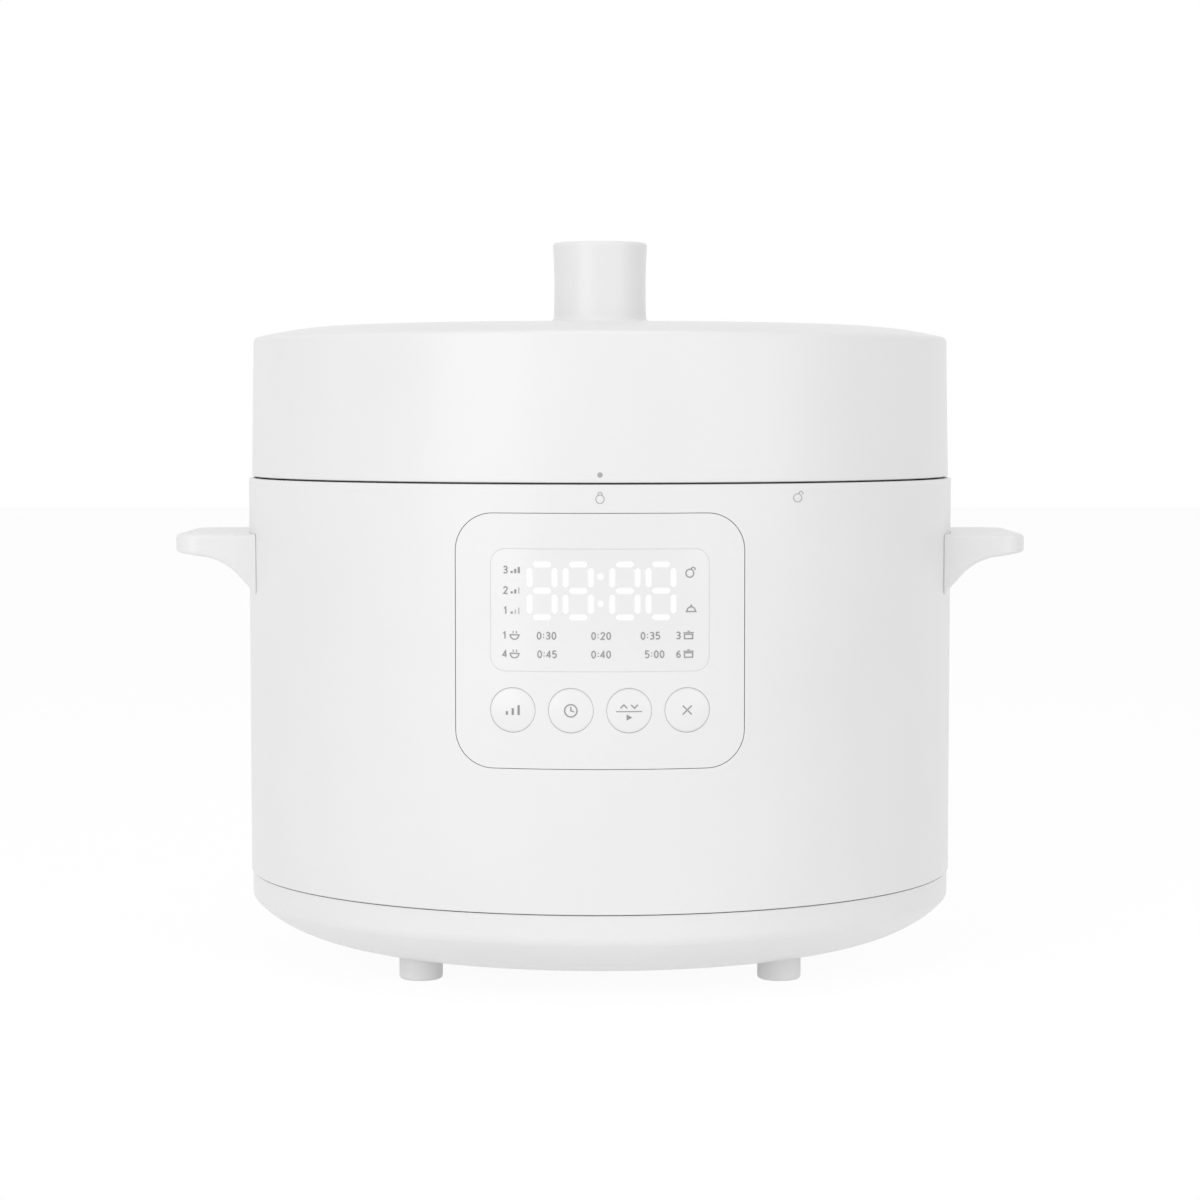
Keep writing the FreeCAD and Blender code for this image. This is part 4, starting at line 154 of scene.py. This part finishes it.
def metal(name, colour, rough, stretch=(1, 1, 30), scale=60.0, depth=0.00003):
    """Brushed or turned metal with fine stretched streaks."""
    material, tree, shader = new_material(name)
    streaks = object_noise(tree, scale, STREAK_DETAIL, stretch)
    vary_colour(tree, shader, streaks, colour, STREAK_SPREAD)
    vary_roughness(tree, shader, streaks, rough - STREAK_GLOSS_LOW, rough + STREAK_GLOSS_HIGH)
    add_bump(tree, shader, streaks, depth, STREAK_STRENGTH)
    shader.inputs["Metallic"].default_value = 1.0
    return material


def glowing(name, colour, strength):
    """Lit segment seen through the window, a little uneven."""
    material, tree, shader = new_material(name)
    noise = object_noise(tree, GLOW_SCALE, PLAIN_DETAIL)
    vary_colour(tree, shader, noise, colour, GLOW_SPREAD)
    shader.inputs["Roughness"].default_value = GLOW_ROUGH
    shader.inputs["Emission Color"].default_value = (1, 1, 1, 1)
    shader.inputs["Emission Strength"].default_value = strength
    return material


WHITE = (0.845, 0.845, 0.845)
SHELL = moulded("satin_white", WHITE, 0.32)
KEY_WHITE = moulded("key_white", (0.85, 0.85, 0.85), 0.3, specular=0.5)
WINDOW_WHITE = moulded("window_white", (0.84, 0.84, 0.84), 0.22, depth=0.00001, specular=0.5)
# Grey plastic of the collar and inner parts, set to a lighter grey so the collar seen through the lid seam
# shows less shade there: partly painted light in the seam
GREY = moulded("grey_plastic", (0.55, 0.56, 0.57), 0.5)
BLACK = moulded("black_plastic", (0.02, 0.02, 0.022), 0.45, spread=0.1)
SLEEVE = moulded("wire_sleeve", (0.05, 0.05, 0.055), 0.55, spread=0.1)
BOARD = moulded("board_green", (0.02, 0.11, 0.045), 0.4, spread=0.08)
IRON = moulded("transformer_iron", (0.06, 0.055, 0.05), 0.55, spread=0.15)
FOOT = moulded("grey_rubber", (0.86, 0.86, 0.86), 0.7, depth=0.00005)
SILICONE = moulded("seal_silicone", (0.6, 0.6, 0.58), 0.5, spread=0.03)
STEEL = metal("pot_steel", (0.62, 0.62, 0.62), 0.3)
LOCK_STEEL = metal("lock_steel", (0.56, 0.56, 0.57), 0.34)
ALUMINIUM = metal("heater_aluminium", (0.68, 0.68, 0.69), 0.42, stretch=(1, 1, 1), scale=240.0)
ELEMENT = metal("element_steel", (0.24, 0.23, 0.22), 0.45)
BRIGHT = metal("bright_steel", (0.7, 0.7, 0.71), 0.22, scale=200.0)
BRASS = metal("brass_pins", (0.72, 0.55, 0.26), 0.28, stretch=(1, 12, 1))
INK = moulded("panel_ink", (0.3, 0.3, 0.3), 0.55, spread=0.06)
PALE_INK = moulded("mark_ink", (0.42, 0.42, 0.42), 0.55, spread=0.04)
LIT = glowing("lit_digits", (0.9, 0.9, 0.9), 0.12)
HALO = glowing("digit_halo", (0.87, 0.87, 0.87), 0.02)
# Grey of the painted shade rings laid into the joints round the keys
KEY_SEAM_SHADE = moulded("key_seam_shade", (0.42, 0.42, 0.42), 0.6, spread=0.02)
# Pale grey of the painted shade line laid over the joint round the window
WINDOW_SEAM_SHADE = moulded("window_seam_shade", (0.7, 0.7, 0.7), 0.5, spread=0.02)

SLOT_MATERIALS = {
    "white_shell": SHELL, "white_keys": KEY_WHITE, "white_window": WINDOW_WHITE, "grey_plastic": GREY,
    "black_plastic": BLACK, "wire_sleeve": SLEEVE, "board_green": BOARD, "transformer_iron": IRON,
    "pot_steel": STEEL, "lock_steel": LOCK_STEEL, "heater_aluminium": ALUMINIUM, "element_steel": ELEMENT,
    "bright_steel": BRIGHT, "brass_pins": BRASS, "grey_rubber": FOOT, "seal_silicone": SILICONE,
}

for entry in frame["record"]["subparts"]:
    data = frame["nodes"][entry["node"]].data
    data.materials.clear()
    data.materials.append(SLOT_MATERIALS[entry["material_slot"]])


# Surfaces that marks are printed on: place(u, v, lift) gives a point in metres

def wall_place(turn, z):
    """Spot on the housing wall, turned from the front, with u along the wall and v up."""
    def place(u, v, lift):
        radius = WALL_RADIUS - WALL_DRAFT * (LID_SEAM - z - v) / WALL_HEIGHT
        angle = math.radians(turn - 90) + u / radius
        out = radius + lift
        return Vector((out * math.cos(angle), out * math.sin(angle), z + v)) * MM
    return place


def lid_place(z):
    """Spot at the front of the lid wall."""
    def place(u, v, lift):
        radius = LID_RADIUS - LID_DRAFT * (z + v - LID_SEAM) / LID_HEIGHT
        angle = -math.pi / 2 + u / radius
        out = radius + lift
        return Vector((out * math.cos(angle), out * math.sin(angle), z + v)) * MM
    return place


def front_place(x, z):
    """Spot on the panel at a place seen from the front."""
    turn = math.degrees(math.asin(x / WALL_RADIUS))
    return wall_place(turn, z)


def flat_place(z):
    """Panel spot where u is measured straight across the front."""
    def place(u, v, lift):
        radius = WALL_RADIUS - WALL_DRAFT * (LID_SEAM - z - v) / WALL_HEIGHT + lift
        return Vector((u, -math.sqrt(radius ** 2 - u ** 2), z + v)) * MM
    return place


def lifted(place, extra):
    """Same spot with an extra lift on its outer face."""
    def raised(u, v, lift):
        return place(u, v, lift + extra if lift > 0 else lift)
    return raised


def key_place(x):
    """Middle of a key's domed face."""
    radius = WALL_RADIUS - WALL_DRAFT * (LID_SEAM - KEY_Z) / WALL_HEIGHT
    tilt = math.asin(x / radius)
    sink = KEY_DOME - KEY_PROUD
    centre_x = x - math.sin(tilt) * sink
    centre_y = math.cos(tilt) * (sink - radius)

    def place(u, v, lift):
        dome = KEY_DOME + lift
        depth = math.sqrt(dome ** 2 - (x + u - centre_x) ** 2 - v ** 2)
        return Vector((x + u, centre_y - depth, KEY_Z + v)) * MM
    return place


# Thin printed shapes

TINY = 1e-6
MITRE_LIMIT = 0.5


def fine(points, closed):
    """Points of a line, with long runs divided so that it can follow a curved wall."""
    ends = points[1:] + points[:1] if closed else points[1:]
    result = []
    for (x0, y0), (x1, y1) in zip(points, ends):
        count = max(1, math.ceil(math.hypot(x1 - x0, y1 - y0) / INK_STEP))
        result += [(x0 + (x1 - x0) * i / count, y0 + (y1 - y0) * i / count) for i in range(count)]
    return result if closed else result + [points[-1]]


def offsets(points, closed):
    """Mitred unit normal at each point of a line."""
    count = len(points)
    normals = []
    for i, (x, y) in enumerate(points):
        x0, y0 = points[i - 1] if closed or i else (x, y)
        x1, y1 = points[(i + 1) % count] if closed or i + 1 < count else (x, y)
        before = Vector((x - x0, y - y0))
        after = Vector((x1 - x, y1 - y))
        before = before.normalized() if before.length > TINY else after.normalized()
        after = after.normalized() if after.length > TINY else before
        along = (before + after).normalized() if (before + after).length > TINY else before
        stretch = 1 / max(MITRE_LIMIT, along.dot(after))
        normals.append((-along.y * stretch, along.x * stretch))
    return normals


def ribbon(mesh, place, points, width, closed=False, tips=None):
    """Printed stroke along points; tips gives the width at its two ends."""
    line = fine(points, closed)
    widths = [width] * len(line)
    if tips is not None:
        widths[0] = widths[-1] = tips
    rows = []
    for (x, y), (nx, ny), wide in zip(line, offsets(line, closed), widths):
        half = wide / 2
        spots = [(x + nx * half, y + ny * half), (x - nx * half, y - ny * half)]
        rows.append([mesh.verts.new(place(u, v, lift)) for u, v in spots for lift in (INK_LIFT, -INK_SINK)])
    pairs = list(zip(rows, rows[1:] + (rows[:1] if closed else [])))
    for (a, b, c, d), (e, f, g, h) in pairs:
        for quad in ((a, c, g, e), (b, f, h, d), (a, e, f, b), (c, d, h, g)):
            mesh.faces.new(quad)
    if not closed:
        for a, b, c, d in (rows[0], rows[-1]):
            mesh.faces.new((a, b, d, c))


def patch(mesh, place, outline):
    """Printed solid shape inside an outline."""
    front = [mesh.verts.new(place(u, v, INK_LIFT)) for u, v in outline]
    back = [mesh.verts.new(place(u, v, -INK_SINK)) for u, v in outline]
    mesh.faces.new(front)
    mesh.faces.new(back[::-1])
    for i in range(len(outline)):
        j = (i + 1) % len(outline)
        mesh.faces.new((front[i], back[i], back[j], front[j]))


def finished(mesh, name, material, body):
    """Piece from a mesh under construction, riding on a body."""
    bmesh.ops.recalc_face_normals(mesh, faces=mesh.faces)
    data = bpy.data.meshes.new(name)
    mesh.to_mesh(data)
    mesh.free()
    data.materials.append(material)
    piece = bpy.data.objects.new(name, data)
    bpy.context.scene.collection.objects.link(piece)
    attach(piece, body)


def arc(cx, cy, radius, start, end, count):
    """Points on a round arc, angles in degrees."""
    angles = [math.radians(start + (end - start) * i / count) for i in range(count + 1)]
    return [(cx + radius * math.cos(a), cy + radius * math.sin(a)) for a in angles]


def ring(cx, cy, radius, count):
    """Points round a circle."""
    return arc(cx, cy, radius, 0, 360, count)[:-1]


# Numerals as single strokes in a box NUMERAL_WIDTH wide and 1 high
NUMERAL_WIDTH = 0.6
ZERO_HALF_WIDTH = 0.27
ZERO_ANGLES = [math.radians(a) for a in range(0, 360, 24)]
NUMERALS = {
    "0": [(0.3 + ZERO_HALF_WIDTH * math.cos(a), 0.5 + 0.5 * math.sin(a)) for a in ZERO_ANGLES],
    "1": [(0.1, 0.78), (0.34, 1.0), (0.34, 0.0)],
    "2": [(0.03, 0.75), (0.1, 0.92), (0.3, 1.0), (0.5, 0.92), (0.56, 0.72), (0.46, 0.5), (0.03, 0.0),
          (0.6, 0.0)],
    "3": [(0.04, 0.88), (0.2, 0.99), (0.42, 0.97), (0.54, 0.8), (0.46, 0.6), (0.24, 0.53), (0.48, 0.45),
          (0.57, 0.24), (0.44, 0.05), (0.2, 0.0), (0.02, 0.12)],
    "4": [(0.44, 0.0), (0.44, 1.0), (0.0, 0.28), (0.6, 0.28)],
    "5": [(0.54, 1.0), (0.1, 1.0), (0.06, 0.56), (0.3, 0.62), (0.52, 0.5), (0.57, 0.28), (0.44, 0.06),
          (0.22, 0.0), (0.02, 0.1)],
    "6": [(0.5, 0.95), (0.28, 0.88), (0.1, 0.62), (0.04, 0.3), (0.14, 0.06), (0.34, 0.0), (0.52, 0.1),
          (0.57, 0.3), (0.46, 0.5), (0.28, 0.54), (0.08, 0.4)],
}
NUMERAL_STEP = 0.86
COLON_STEP = 0.5
COLON_INSET = 0.11
COLON_RISES = (0.25, 0.7)
DOT_SHARE = 0.55


def numerals(mesh, place, text, height, weight):
    """Row of plain numerals, centred on a spot."""
    steps = [COLON_STEP if mark == ":" else NUMERAL_STEP for mark in text]
    x = -height * (sum(steps) - (NUMERAL_STEP - NUMERAL_WIDTH)) / 2
    low = -height / 2
    for mark, step in zip(text, steps):
        if mark == ":":
            for rise in COLON_RISES:
                dot = ring(x + COLON_INSET * height, low + rise * height, weight * DOT_SHARE, 8)
                patch(mesh, place, dot)
        else:
            points = [(x + px * height, low + py * height) for px, py in NUMERALS[mark]]
            ribbon(mesh, place, points, weight, closed=mark == "0")
        x += step * height


# Lid dot and padlock marks

DOT_Z = 191.4
DOT_RADIUS = 0.95
MARK_Z = 183.3
MARK_WEIGHT = 0.28

mesh = bmesh.new()
patch(mesh, lid_place(DOT_Z), ring(0, 0, DOT_RADIUS, 24))
finished(mesh, "lid_dot", PALE_INK, "lid")

PADLOCK_BODY = ring(0, -0.45, 1.5, 22)
PADLOCK_LOOP = [(-0.75, 0.85)] + arc(0, 1.3, 0.75, 180, 0, 8) + [(0.75, 0.85)]
OPEN_LOOP = [(0.5, 0.95)] + arc(1.2, 1.2, 0.7, 180, 0, 8) + [(1.9, 0.7)]
OPEN_STRETCH = 1.2


def stretched(points):
    """Points of the open mark, drawn wider because it sits on the turn of the wall."""
    return [(x * OPEN_STRETCH, y) for x, y in points]


mesh = bmesh.new()
closed_mark = wall_place(0, MARK_Z)
ribbon(mesh, closed_mark, PADLOCK_BODY, MARK_WEIGHT, closed=True)
ribbon(mesh, closed_mark, PADLOCK_LOOP, MARK_WEIGHT)
finished(mesh, "locked_mark", PALE_INK, "base")

mesh = bmesh.new()
open_mark = wall_place(LID_TURN, MARK_Z)
ribbon(mesh, open_mark, stretched(PADLOCK_BODY), MARK_WEIGHT, closed=True)
ribbon(mesh, open_mark, stretched(OPEN_LOOP), MARK_WEIGHT)
finished(mesh, "open_mark", PALE_INK, "base")

# Lit clock digits in the window

DIGIT_X = (-20.55, -7.7, 8.85, 21.7)
DIGIT_Z = 150.35
DIGIT_WIDTH = 9.0
DIGIT_HEIGHT = 18.8
BAR = 1.6
BAR_GAP = 1.3
HALO_WIDTH = 2.6
HALO_LIFT = 0.02
TIP_SHARE = 0.4
CLOCK_COLON_X = 0.2
CLOCK_COLON_LIFT = 0.3
CLOCK_COLON_RISE = 4.8


def draw_digits(mesh, width, raised):
    """Four figure-eight digits and a colon, in bars of a width."""
    w, h, g = DIGIT_WIDTH / 2, DIGIT_HEIGHT / 2, BAR_GAP
    for x in DIGIT_X:
        spot = lifted(front_place(x, DIGIT_Z), raised)
        for v in (-h, 0, h):
            ribbon(mesh, spot, [(-w + g, v), (w - g, v)], width, tips=width * TIP_SHARE)
        for u in (-w, w):
            ribbon(mesh, spot, [(u, -h + g), (u, -g)], width, tips=width * TIP_SHARE)
            ribbon(mesh, spot, [(u, g), (u, h - g)], width, tips=width * TIP_SHARE)
    colon = lifted(front_place(CLOCK_COLON_X, DIGIT_Z + CLOCK_COLON_LIFT), raised)
    for v in (-CLOCK_COLON_RISE, CLOCK_COLON_RISE):
        patch(mesh, colon, ring(0, v, width * DOT_SHARE, 16))


mesh = bmesh.new()
draw_digits(mesh, HALO_WIDTH, HALO_LIFT - INK_LIFT)
finished(mesh, "digit_halo", HALO, "base")
mesh = bmesh.new()
draw_digits(mesh, BAR, 0.0)
finished(mesh, "clock_digits", LIT, "base")

# Painted shade in the narrow joints: a pale grey line over the joint round the window, and darker grey
# rings in the joints round the keys

WINDOW_HALF = (38.93, 21.78)
WINDOW_ROUND = 5.15
WINDOW_Z = 143.45
WINDOW_SEAM_SHADE_WIDTH = 0.32
# Painted shade line over the window joint, paler than the gap's own shade
window_seam_line = []
for cx, cy, start in ((1, 1, 0), (-1, 1, 90), (-1, -1, 180), (1, -1, 270)):
    corner = (cx * (WINDOW_HALF[0] - WINDOW_ROUND), cy * (WINDOW_HALF[1] - WINDOW_ROUND))
    window_seam_line += arc(*corner, WINDOW_ROUND, start, start + 90, 8)
mesh = bmesh.new()
ribbon(mesh, lifted(flat_place(WINDOW_Z), HALO_LIFT - INK_LIFT), window_seam_line, WINDOW_SEAM_SHADE_WIDTH, closed=True)
finished(mesh, "window_seam_shade", WINDOW_SEAM_SHADE, "base")

# Rings of painted shade in the joints round the keys, flush with the panel
KEY_SEAM_SHADE_RADIUS = 8.0
KEY_SEAM_SHADE_WIDTH = 0.17
mesh = bmesh.new()
key_row = lifted(flat_place(KEY_Z), -INK_LIFT)
for x in KEY_X:
    ribbon(mesh, key_row, ring(x, 0, KEY_SEAM_SHADE_RADIUS, 48), KEY_SEAM_SHADE_WIDTH, closed=True)
finished(mesh, "key_seam_shades", KEY_SEAM_SHADE, "base")

# Window legends: levels, program numbers with their times, and two lamps

LEGEND_HEIGHT = 2.4
LEGEND_WEIGHT = 0.42
ICON_WEIGHT = 0.4
LOOP_WEIGHT = 0.36
FINE_WEIGHT = 0.34
STEAM_WEIGHT = 0.3
LEVEL_ROWS = ((157.75, 3), (150.5, 2), (143.3, 1))
LEVEL_NUMBER_X = -33.6
LEVEL_BARS_X = -30.2
LEVEL_FIRST = -1.2
LEVEL_PITCH = 1.3
LEVEL_LOW = 0.8
LEVEL_STEP = 0.7
LEVEL_ON_WIDTH = 0.75
LEVEL_OFF_WIDTH = 0.25
LOCK_LAMP = (32.2, 156.7)
COVER_LAMP = (32.4, 143.0)

mesh = bmesh.new()
for z, level in LEVEL_ROWS:
    numerals(mesh, front_place(LEVEL_NUMBER_X, z), str(level), LEGEND_HEIGHT, LEGEND_WEIGHT)
    spot = front_place(LEVEL_BARS_X, z)
    low = -LEGEND_HEIGHT / 2
    for i in range(3):
        u = LEVEL_FIRST + LEVEL_PITCH * i
        top = low + LEVEL_LOW + LEVEL_STEP * i
        ribbon(mesh, spot, [(u, low), (u, top)], LEVEL_ON_WIDTH if i < level else LEVEL_OFF_WIDTH)

# Height of each row, its numbered programs (number x, picture x, number) and its times (x, time)
PROGRAMS = (
    (134.4, ((-33.9, -30.4, "1"), (27.9, 31.5, "3")), ((-19.0, "0:30"), (0.4, "0:20"), (17.9, "0:35"))),
    (127.8, ((-33.9, -30.4, "4"), (27.9, 31.5, "6")), ((-18.8, "0:45"), (0.4, "0:40"), (19.4, "5:00"))),
)


def draw_bowl(mesh, spot):
    """Bowl with steam."""
    ribbon(mesh, spot, arc(0, 0.2, 1.6, 180, 360, 12), LEGEND_WEIGHT, closed=True)
    for u in (-0.6, 0.6):
        ribbon(mesh, spot, [(u, 0.75), (u + 0.2, 1.15), (u, 1.55)], STEAM_WEIGHT)


def draw_pot(mesh, spot):
    """Lidded pot."""
    ribbon(mesh, spot, [(-1.5, 0.4), (-1.5, -1.2), (1.5, -1.2), (1.5, 0.4)], LEGEND_WEIGHT, closed=True)
    ribbon(mesh, spot, [(-1.9, 0.95), (1.9, 0.95)], FINE_WEIGHT)
    ribbon(mesh, spot, [(-0.4, 1.45), (0.4, 1.45)], FINE_WEIGHT)


for z, numbered, times in PROGRAMS:
    for (number_x, icon_x, number), draw in zip(numbered, (draw_bowl, draw_pot)):
        numerals(mesh, front_place(number_x, z), number, LEGEND_HEIGHT, LEGEND_WEIGHT)
        draw(mesh, front_place(icon_x, z))
    for x, text in times:
        numerals(mesh, front_place(x, z), text, LEGEND_HEIGHT, LEGEND_WEIGHT)

lamp = front_place(*LOCK_LAMP)
ribbon(mesh, lamp, ring(-0.3, -0.2, 1.45, 18), ICON_WEIGHT, closed=True)
ribbon(mesh, lamp, [(0.2, 1.15), (0.45, 1.75), (1.2, 1.9), (1.65, 1.4), (1.6, 0.9)], LOOP_WEIGHT)
cover = front_place(*COVER_LAMP)
ribbon(mesh, cover, arc(0, 0, 1.55, 0, 180, 12), ICON_WEIGHT)
ribbon(mesh, cover, [(-2.0, -0.15), (2.0, -0.15)], ICON_WEIGHT)
patch(mesh, cover, ring(0, 2.05, 0.32, 8))
finished(mesh, "window_legends", INK, "base")

# Key symbols

SYMBOL_WEIGHT = 0.45
KEY_BAR_WIDTH = 0.8
KEY_BAR_PITCH = 2.1
KEY_BAR_FOOT = -1.75
KEY_BAR_RISES = (1.3, 2.4, 3.5)


def draw_levels(mesh, spot):
    """Three rising bars."""
    for i, rise in enumerate(KEY_BAR_RISES):
        u = KEY_BAR_PITCH * (i - 1)
        ribbon(mesh, spot, [(u, KEY_BAR_FOOT), (u, KEY_BAR_FOOT + rise)], KEY_BAR_WIDTH)


def draw_clock(mesh, spot):
    """Clock face with two hands."""
    ribbon(mesh, spot, ring(0, 0, 2.2, 24), SYMBOL_WEIGHT, closed=True)
    ribbon(mesh, spot, [(0, 1.4), (0, 0), (1.1, -0.35)], SYMBOL_WEIGHT)


def draw_start(mesh, spot):
    """Choose and start: two arrowheads over a line, and a start triangle under it."""
    ribbon(mesh, spot, [(-4.6, -0.3), (4.6, -0.3)], FINE_WEIGHT)
    ribbon(mesh, spot, [(-3.1, 0.9), (-1.9, 2.1), (-0.7, 0.9)], SYMBOL_WEIGHT)
    ribbon(mesh, spot, [(0.7, 2.1), (1.9, 0.9), (3.1, 2.1)], SYMBOL_WEIGHT)
    patch(mesh, spot, [(-0.9, -3.5), (-0.9, -1.3), (1.1, -2.4)])


def draw_cross(mesh, spot):
    """Stop: a plain cross."""
    ribbon(mesh, spot, [(-1.6, -1.6), (1.6, 1.6)], SYMBOL_WEIGHT)
    for end in (-1, 1):
        ribbon(mesh, spot, [(end * -1.6, end * 1.6), (end * -0.28, end * 0.28)], SYMBOL_WEIGHT)


for x, body, draw in zip(KEY_X, KEY_BODIES, (draw_levels, draw_clock, draw_start, draw_cross)):
    mesh = bmesh.new()
    draw(mesh, key_place(x))
    finished(mesh, body + "_symbol", INK, body)


# Springs, each with the body that holds it, the body at its moving end and its two ends in millimetres

SPRINGS = (
    ("vent_spring", "lid", "vent", (0, 0, 259.4), (0, 0, 275.0)),
    ("sensor_spring", "base", "sensor", (0, 0, 25.9), (0, 0, 34.0)),
    ("lock_spring", "lid", "lock", (-32.17, 32.17, 215.9), (-39.6, 39.6, 215.9)),
)
WELD = 1e-6


def make_coil(node, held, moved, start, end):
    """Coil copied from the spring part's mesh with its points welded, baked in place of the part, which is
    hidden.
    """
    mesh = bmesh.new()
    mesh.from_mesh(frame["nodes"][node].data)
    mesh.transform(frame["nodes"][node].matrix_world)
    bmesh.ops.remove_doubles(mesh, verts=mesh.verts, dist=WELD)
    bmesh.ops.recalc_face_normals(mesh, faces=mesh.faces)
    data = bpy.data.meshes.new(node + "_coil")
    mesh.to_mesh(data)
    mesh.free()
    data.materials.append(BRIGHT)
    coil = bpy.data.objects.new(node + "_coil", data)
    bpy.context.scene.collection.objects.link(coil)
    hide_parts(node)
    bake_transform(coil)


for spring in SPRINGS:
    make_coil(*spring)


# Camera at the photograph's place

CAMERA_AWAY = 1.29796
CAMERA_HEIGHT = 0.2143
CAMERA_PITCH = 3.311
CAMERA_LENS = 98.44
CAMERA_SENSOR = 36.0

camera_data = bpy.data.cameras.new("camera")
camera_data.lens = CAMERA_LENS
camera_data.sensor_width = CAMERA_SENSOR
camera = bpy.data.objects.new("camera", camera_data)
camera.location = (0, -CAMERA_AWAY, CAMERA_HEIGHT)
camera.rotation_euler = (math.radians(90 - CAMERA_PITCH), 0, 0)
bpy.context.scene.collection.objects.link(camera)
bpy.context.scene.camera = camera


# Stage and light

FLOOR_HALF = 6.0
FLOOR_GLOW = 0.9
FLOOR_BOUNCE = 0.25
FLOOR_STRENGTH = 1.03
FLOOR_WHITE = (0.9, 0.9, 0.9, 1)
WORLD_LIGHT = 0.56
LAMP_AIM = Vector((0, 0, 0.14))


def seen_directly(tree):
    """1 for rays from the camera, a reflection or glass, else 0."""
    path = tree.nodes.new("ShaderNodeLightPath")
    total = None
    for name in ("Is Camera Ray", "Is Glossy Ray", "Is Transmission Ray"):
        if total is None:
            total = path.outputs[name]
            continue
        join = tree.nodes.new("ShaderNodeMath")
        join.operation = "MAXIMUM"
        tree.links.new(total, join.inputs[0])
        tree.links.new(path.outputs[name], join.inputs[1])
        total = join.outputs[0]
    return total


def make_floor():
    """Pale floor that keeps a faint shadow."""
    mesh = bmesh.new()
    bmesh.ops.create_grid(mesh, x_segments=1, y_segments=1, size=FLOOR_HALF)
    data = bpy.data.meshes.new("floor")
    mesh.to_mesh(data)
    mesh.free()
    floor = bpy.data.objects.new("floor", data)
    bpy.context.scene.collection.objects.link(floor)
    material = bpy.data.materials.new("floor_white")
    material.use_nodes = True
    tree = material.node_tree
    tree.nodes.remove(tree.nodes["Principled BSDF"])
    diffuse = add_node(tree, "ShaderNodeBsdfDiffuse", Color=FLOOR_WHITE)
    glow = add_node(tree, "ShaderNodeEmission", Color=(1, 1, 1, 1), Strength=FLOOR_STRENGTH)
    mix = add_node(tree, "ShaderNodeMixShader")
    share = add_node(tree, "ShaderNodeMapRange", To_Min=FLOOR_BOUNCE, To_Max=FLOOR_GLOW)
    tree.links.new(seen_directly(tree), share.inputs["Value"])
    tree.links.new(share.outputs["Result"], mix.inputs["Fac"])
    tree.links.new(diffuse.outputs["BSDF"], mix.inputs[1])
    tree.links.new(glow.outputs["Emission"], mix.inputs[2])
    tree.links.new(mix.outputs["Shader"], tree.nodes["Material Output"].inputs["Surface"])
    data.materials.append(material)


def make_world():
    """White backdrop, with an even, weaker light on the object."""
    world = bpy.data.worlds.new("studio")
    bpy.context.scene.world = world
    world.use_nodes = True
    tree = world.node_tree
    back = tree.nodes["Background"]
    level = add_node(tree, "ShaderNodeMapRange", To_Min=WORLD_LIGHT, To_Max=1.0)
    tree.links.new(seen_directly(tree), level.inputs["Value"])
    tree.links.new(level.outputs["Result"], back.inputs["Strength"])
    back.inputs["Color"].default_value = (1, 1, 1, 1)


def add_softbox(name, turn, rise, away, size, watts):
    """Area lamp that faces the middle of the cooker, from an angle off the front and a height angle."""
    data = bpy.data.lights.new(name, "AREA")
    data.shape = "RECTANGLE"
    data.size, data.size_y = size
    data.energy = watts
    lamp = bpy.data.objects.new(name, data)
    a, e = math.radians(turn - 90), math.radians(rise)
    way = Vector((math.cos(a) * math.cos(e), math.sin(a) * math.cos(e), math.sin(e)))
    lamp.location = LAMP_AIM + way * away
    lamp.rotation_euler = (-way).to_track_quat("-Z", "Y").to_euler()
    bpy.context.scene.collection.objects.link(lamp)


make_floor()
make_world()
add_softbox("key_left", -37, 12, 1.7, (1.0, 1.5), 9.5)
add_softbox("fill_right", 45, 8, 2.0, (1.4, 1.4), 8)
add_softbox("top", 0, 80, 1.6, (1.4, 1.4), 5)
bpy.context.scene.view_settings.view_transform = "Standard"
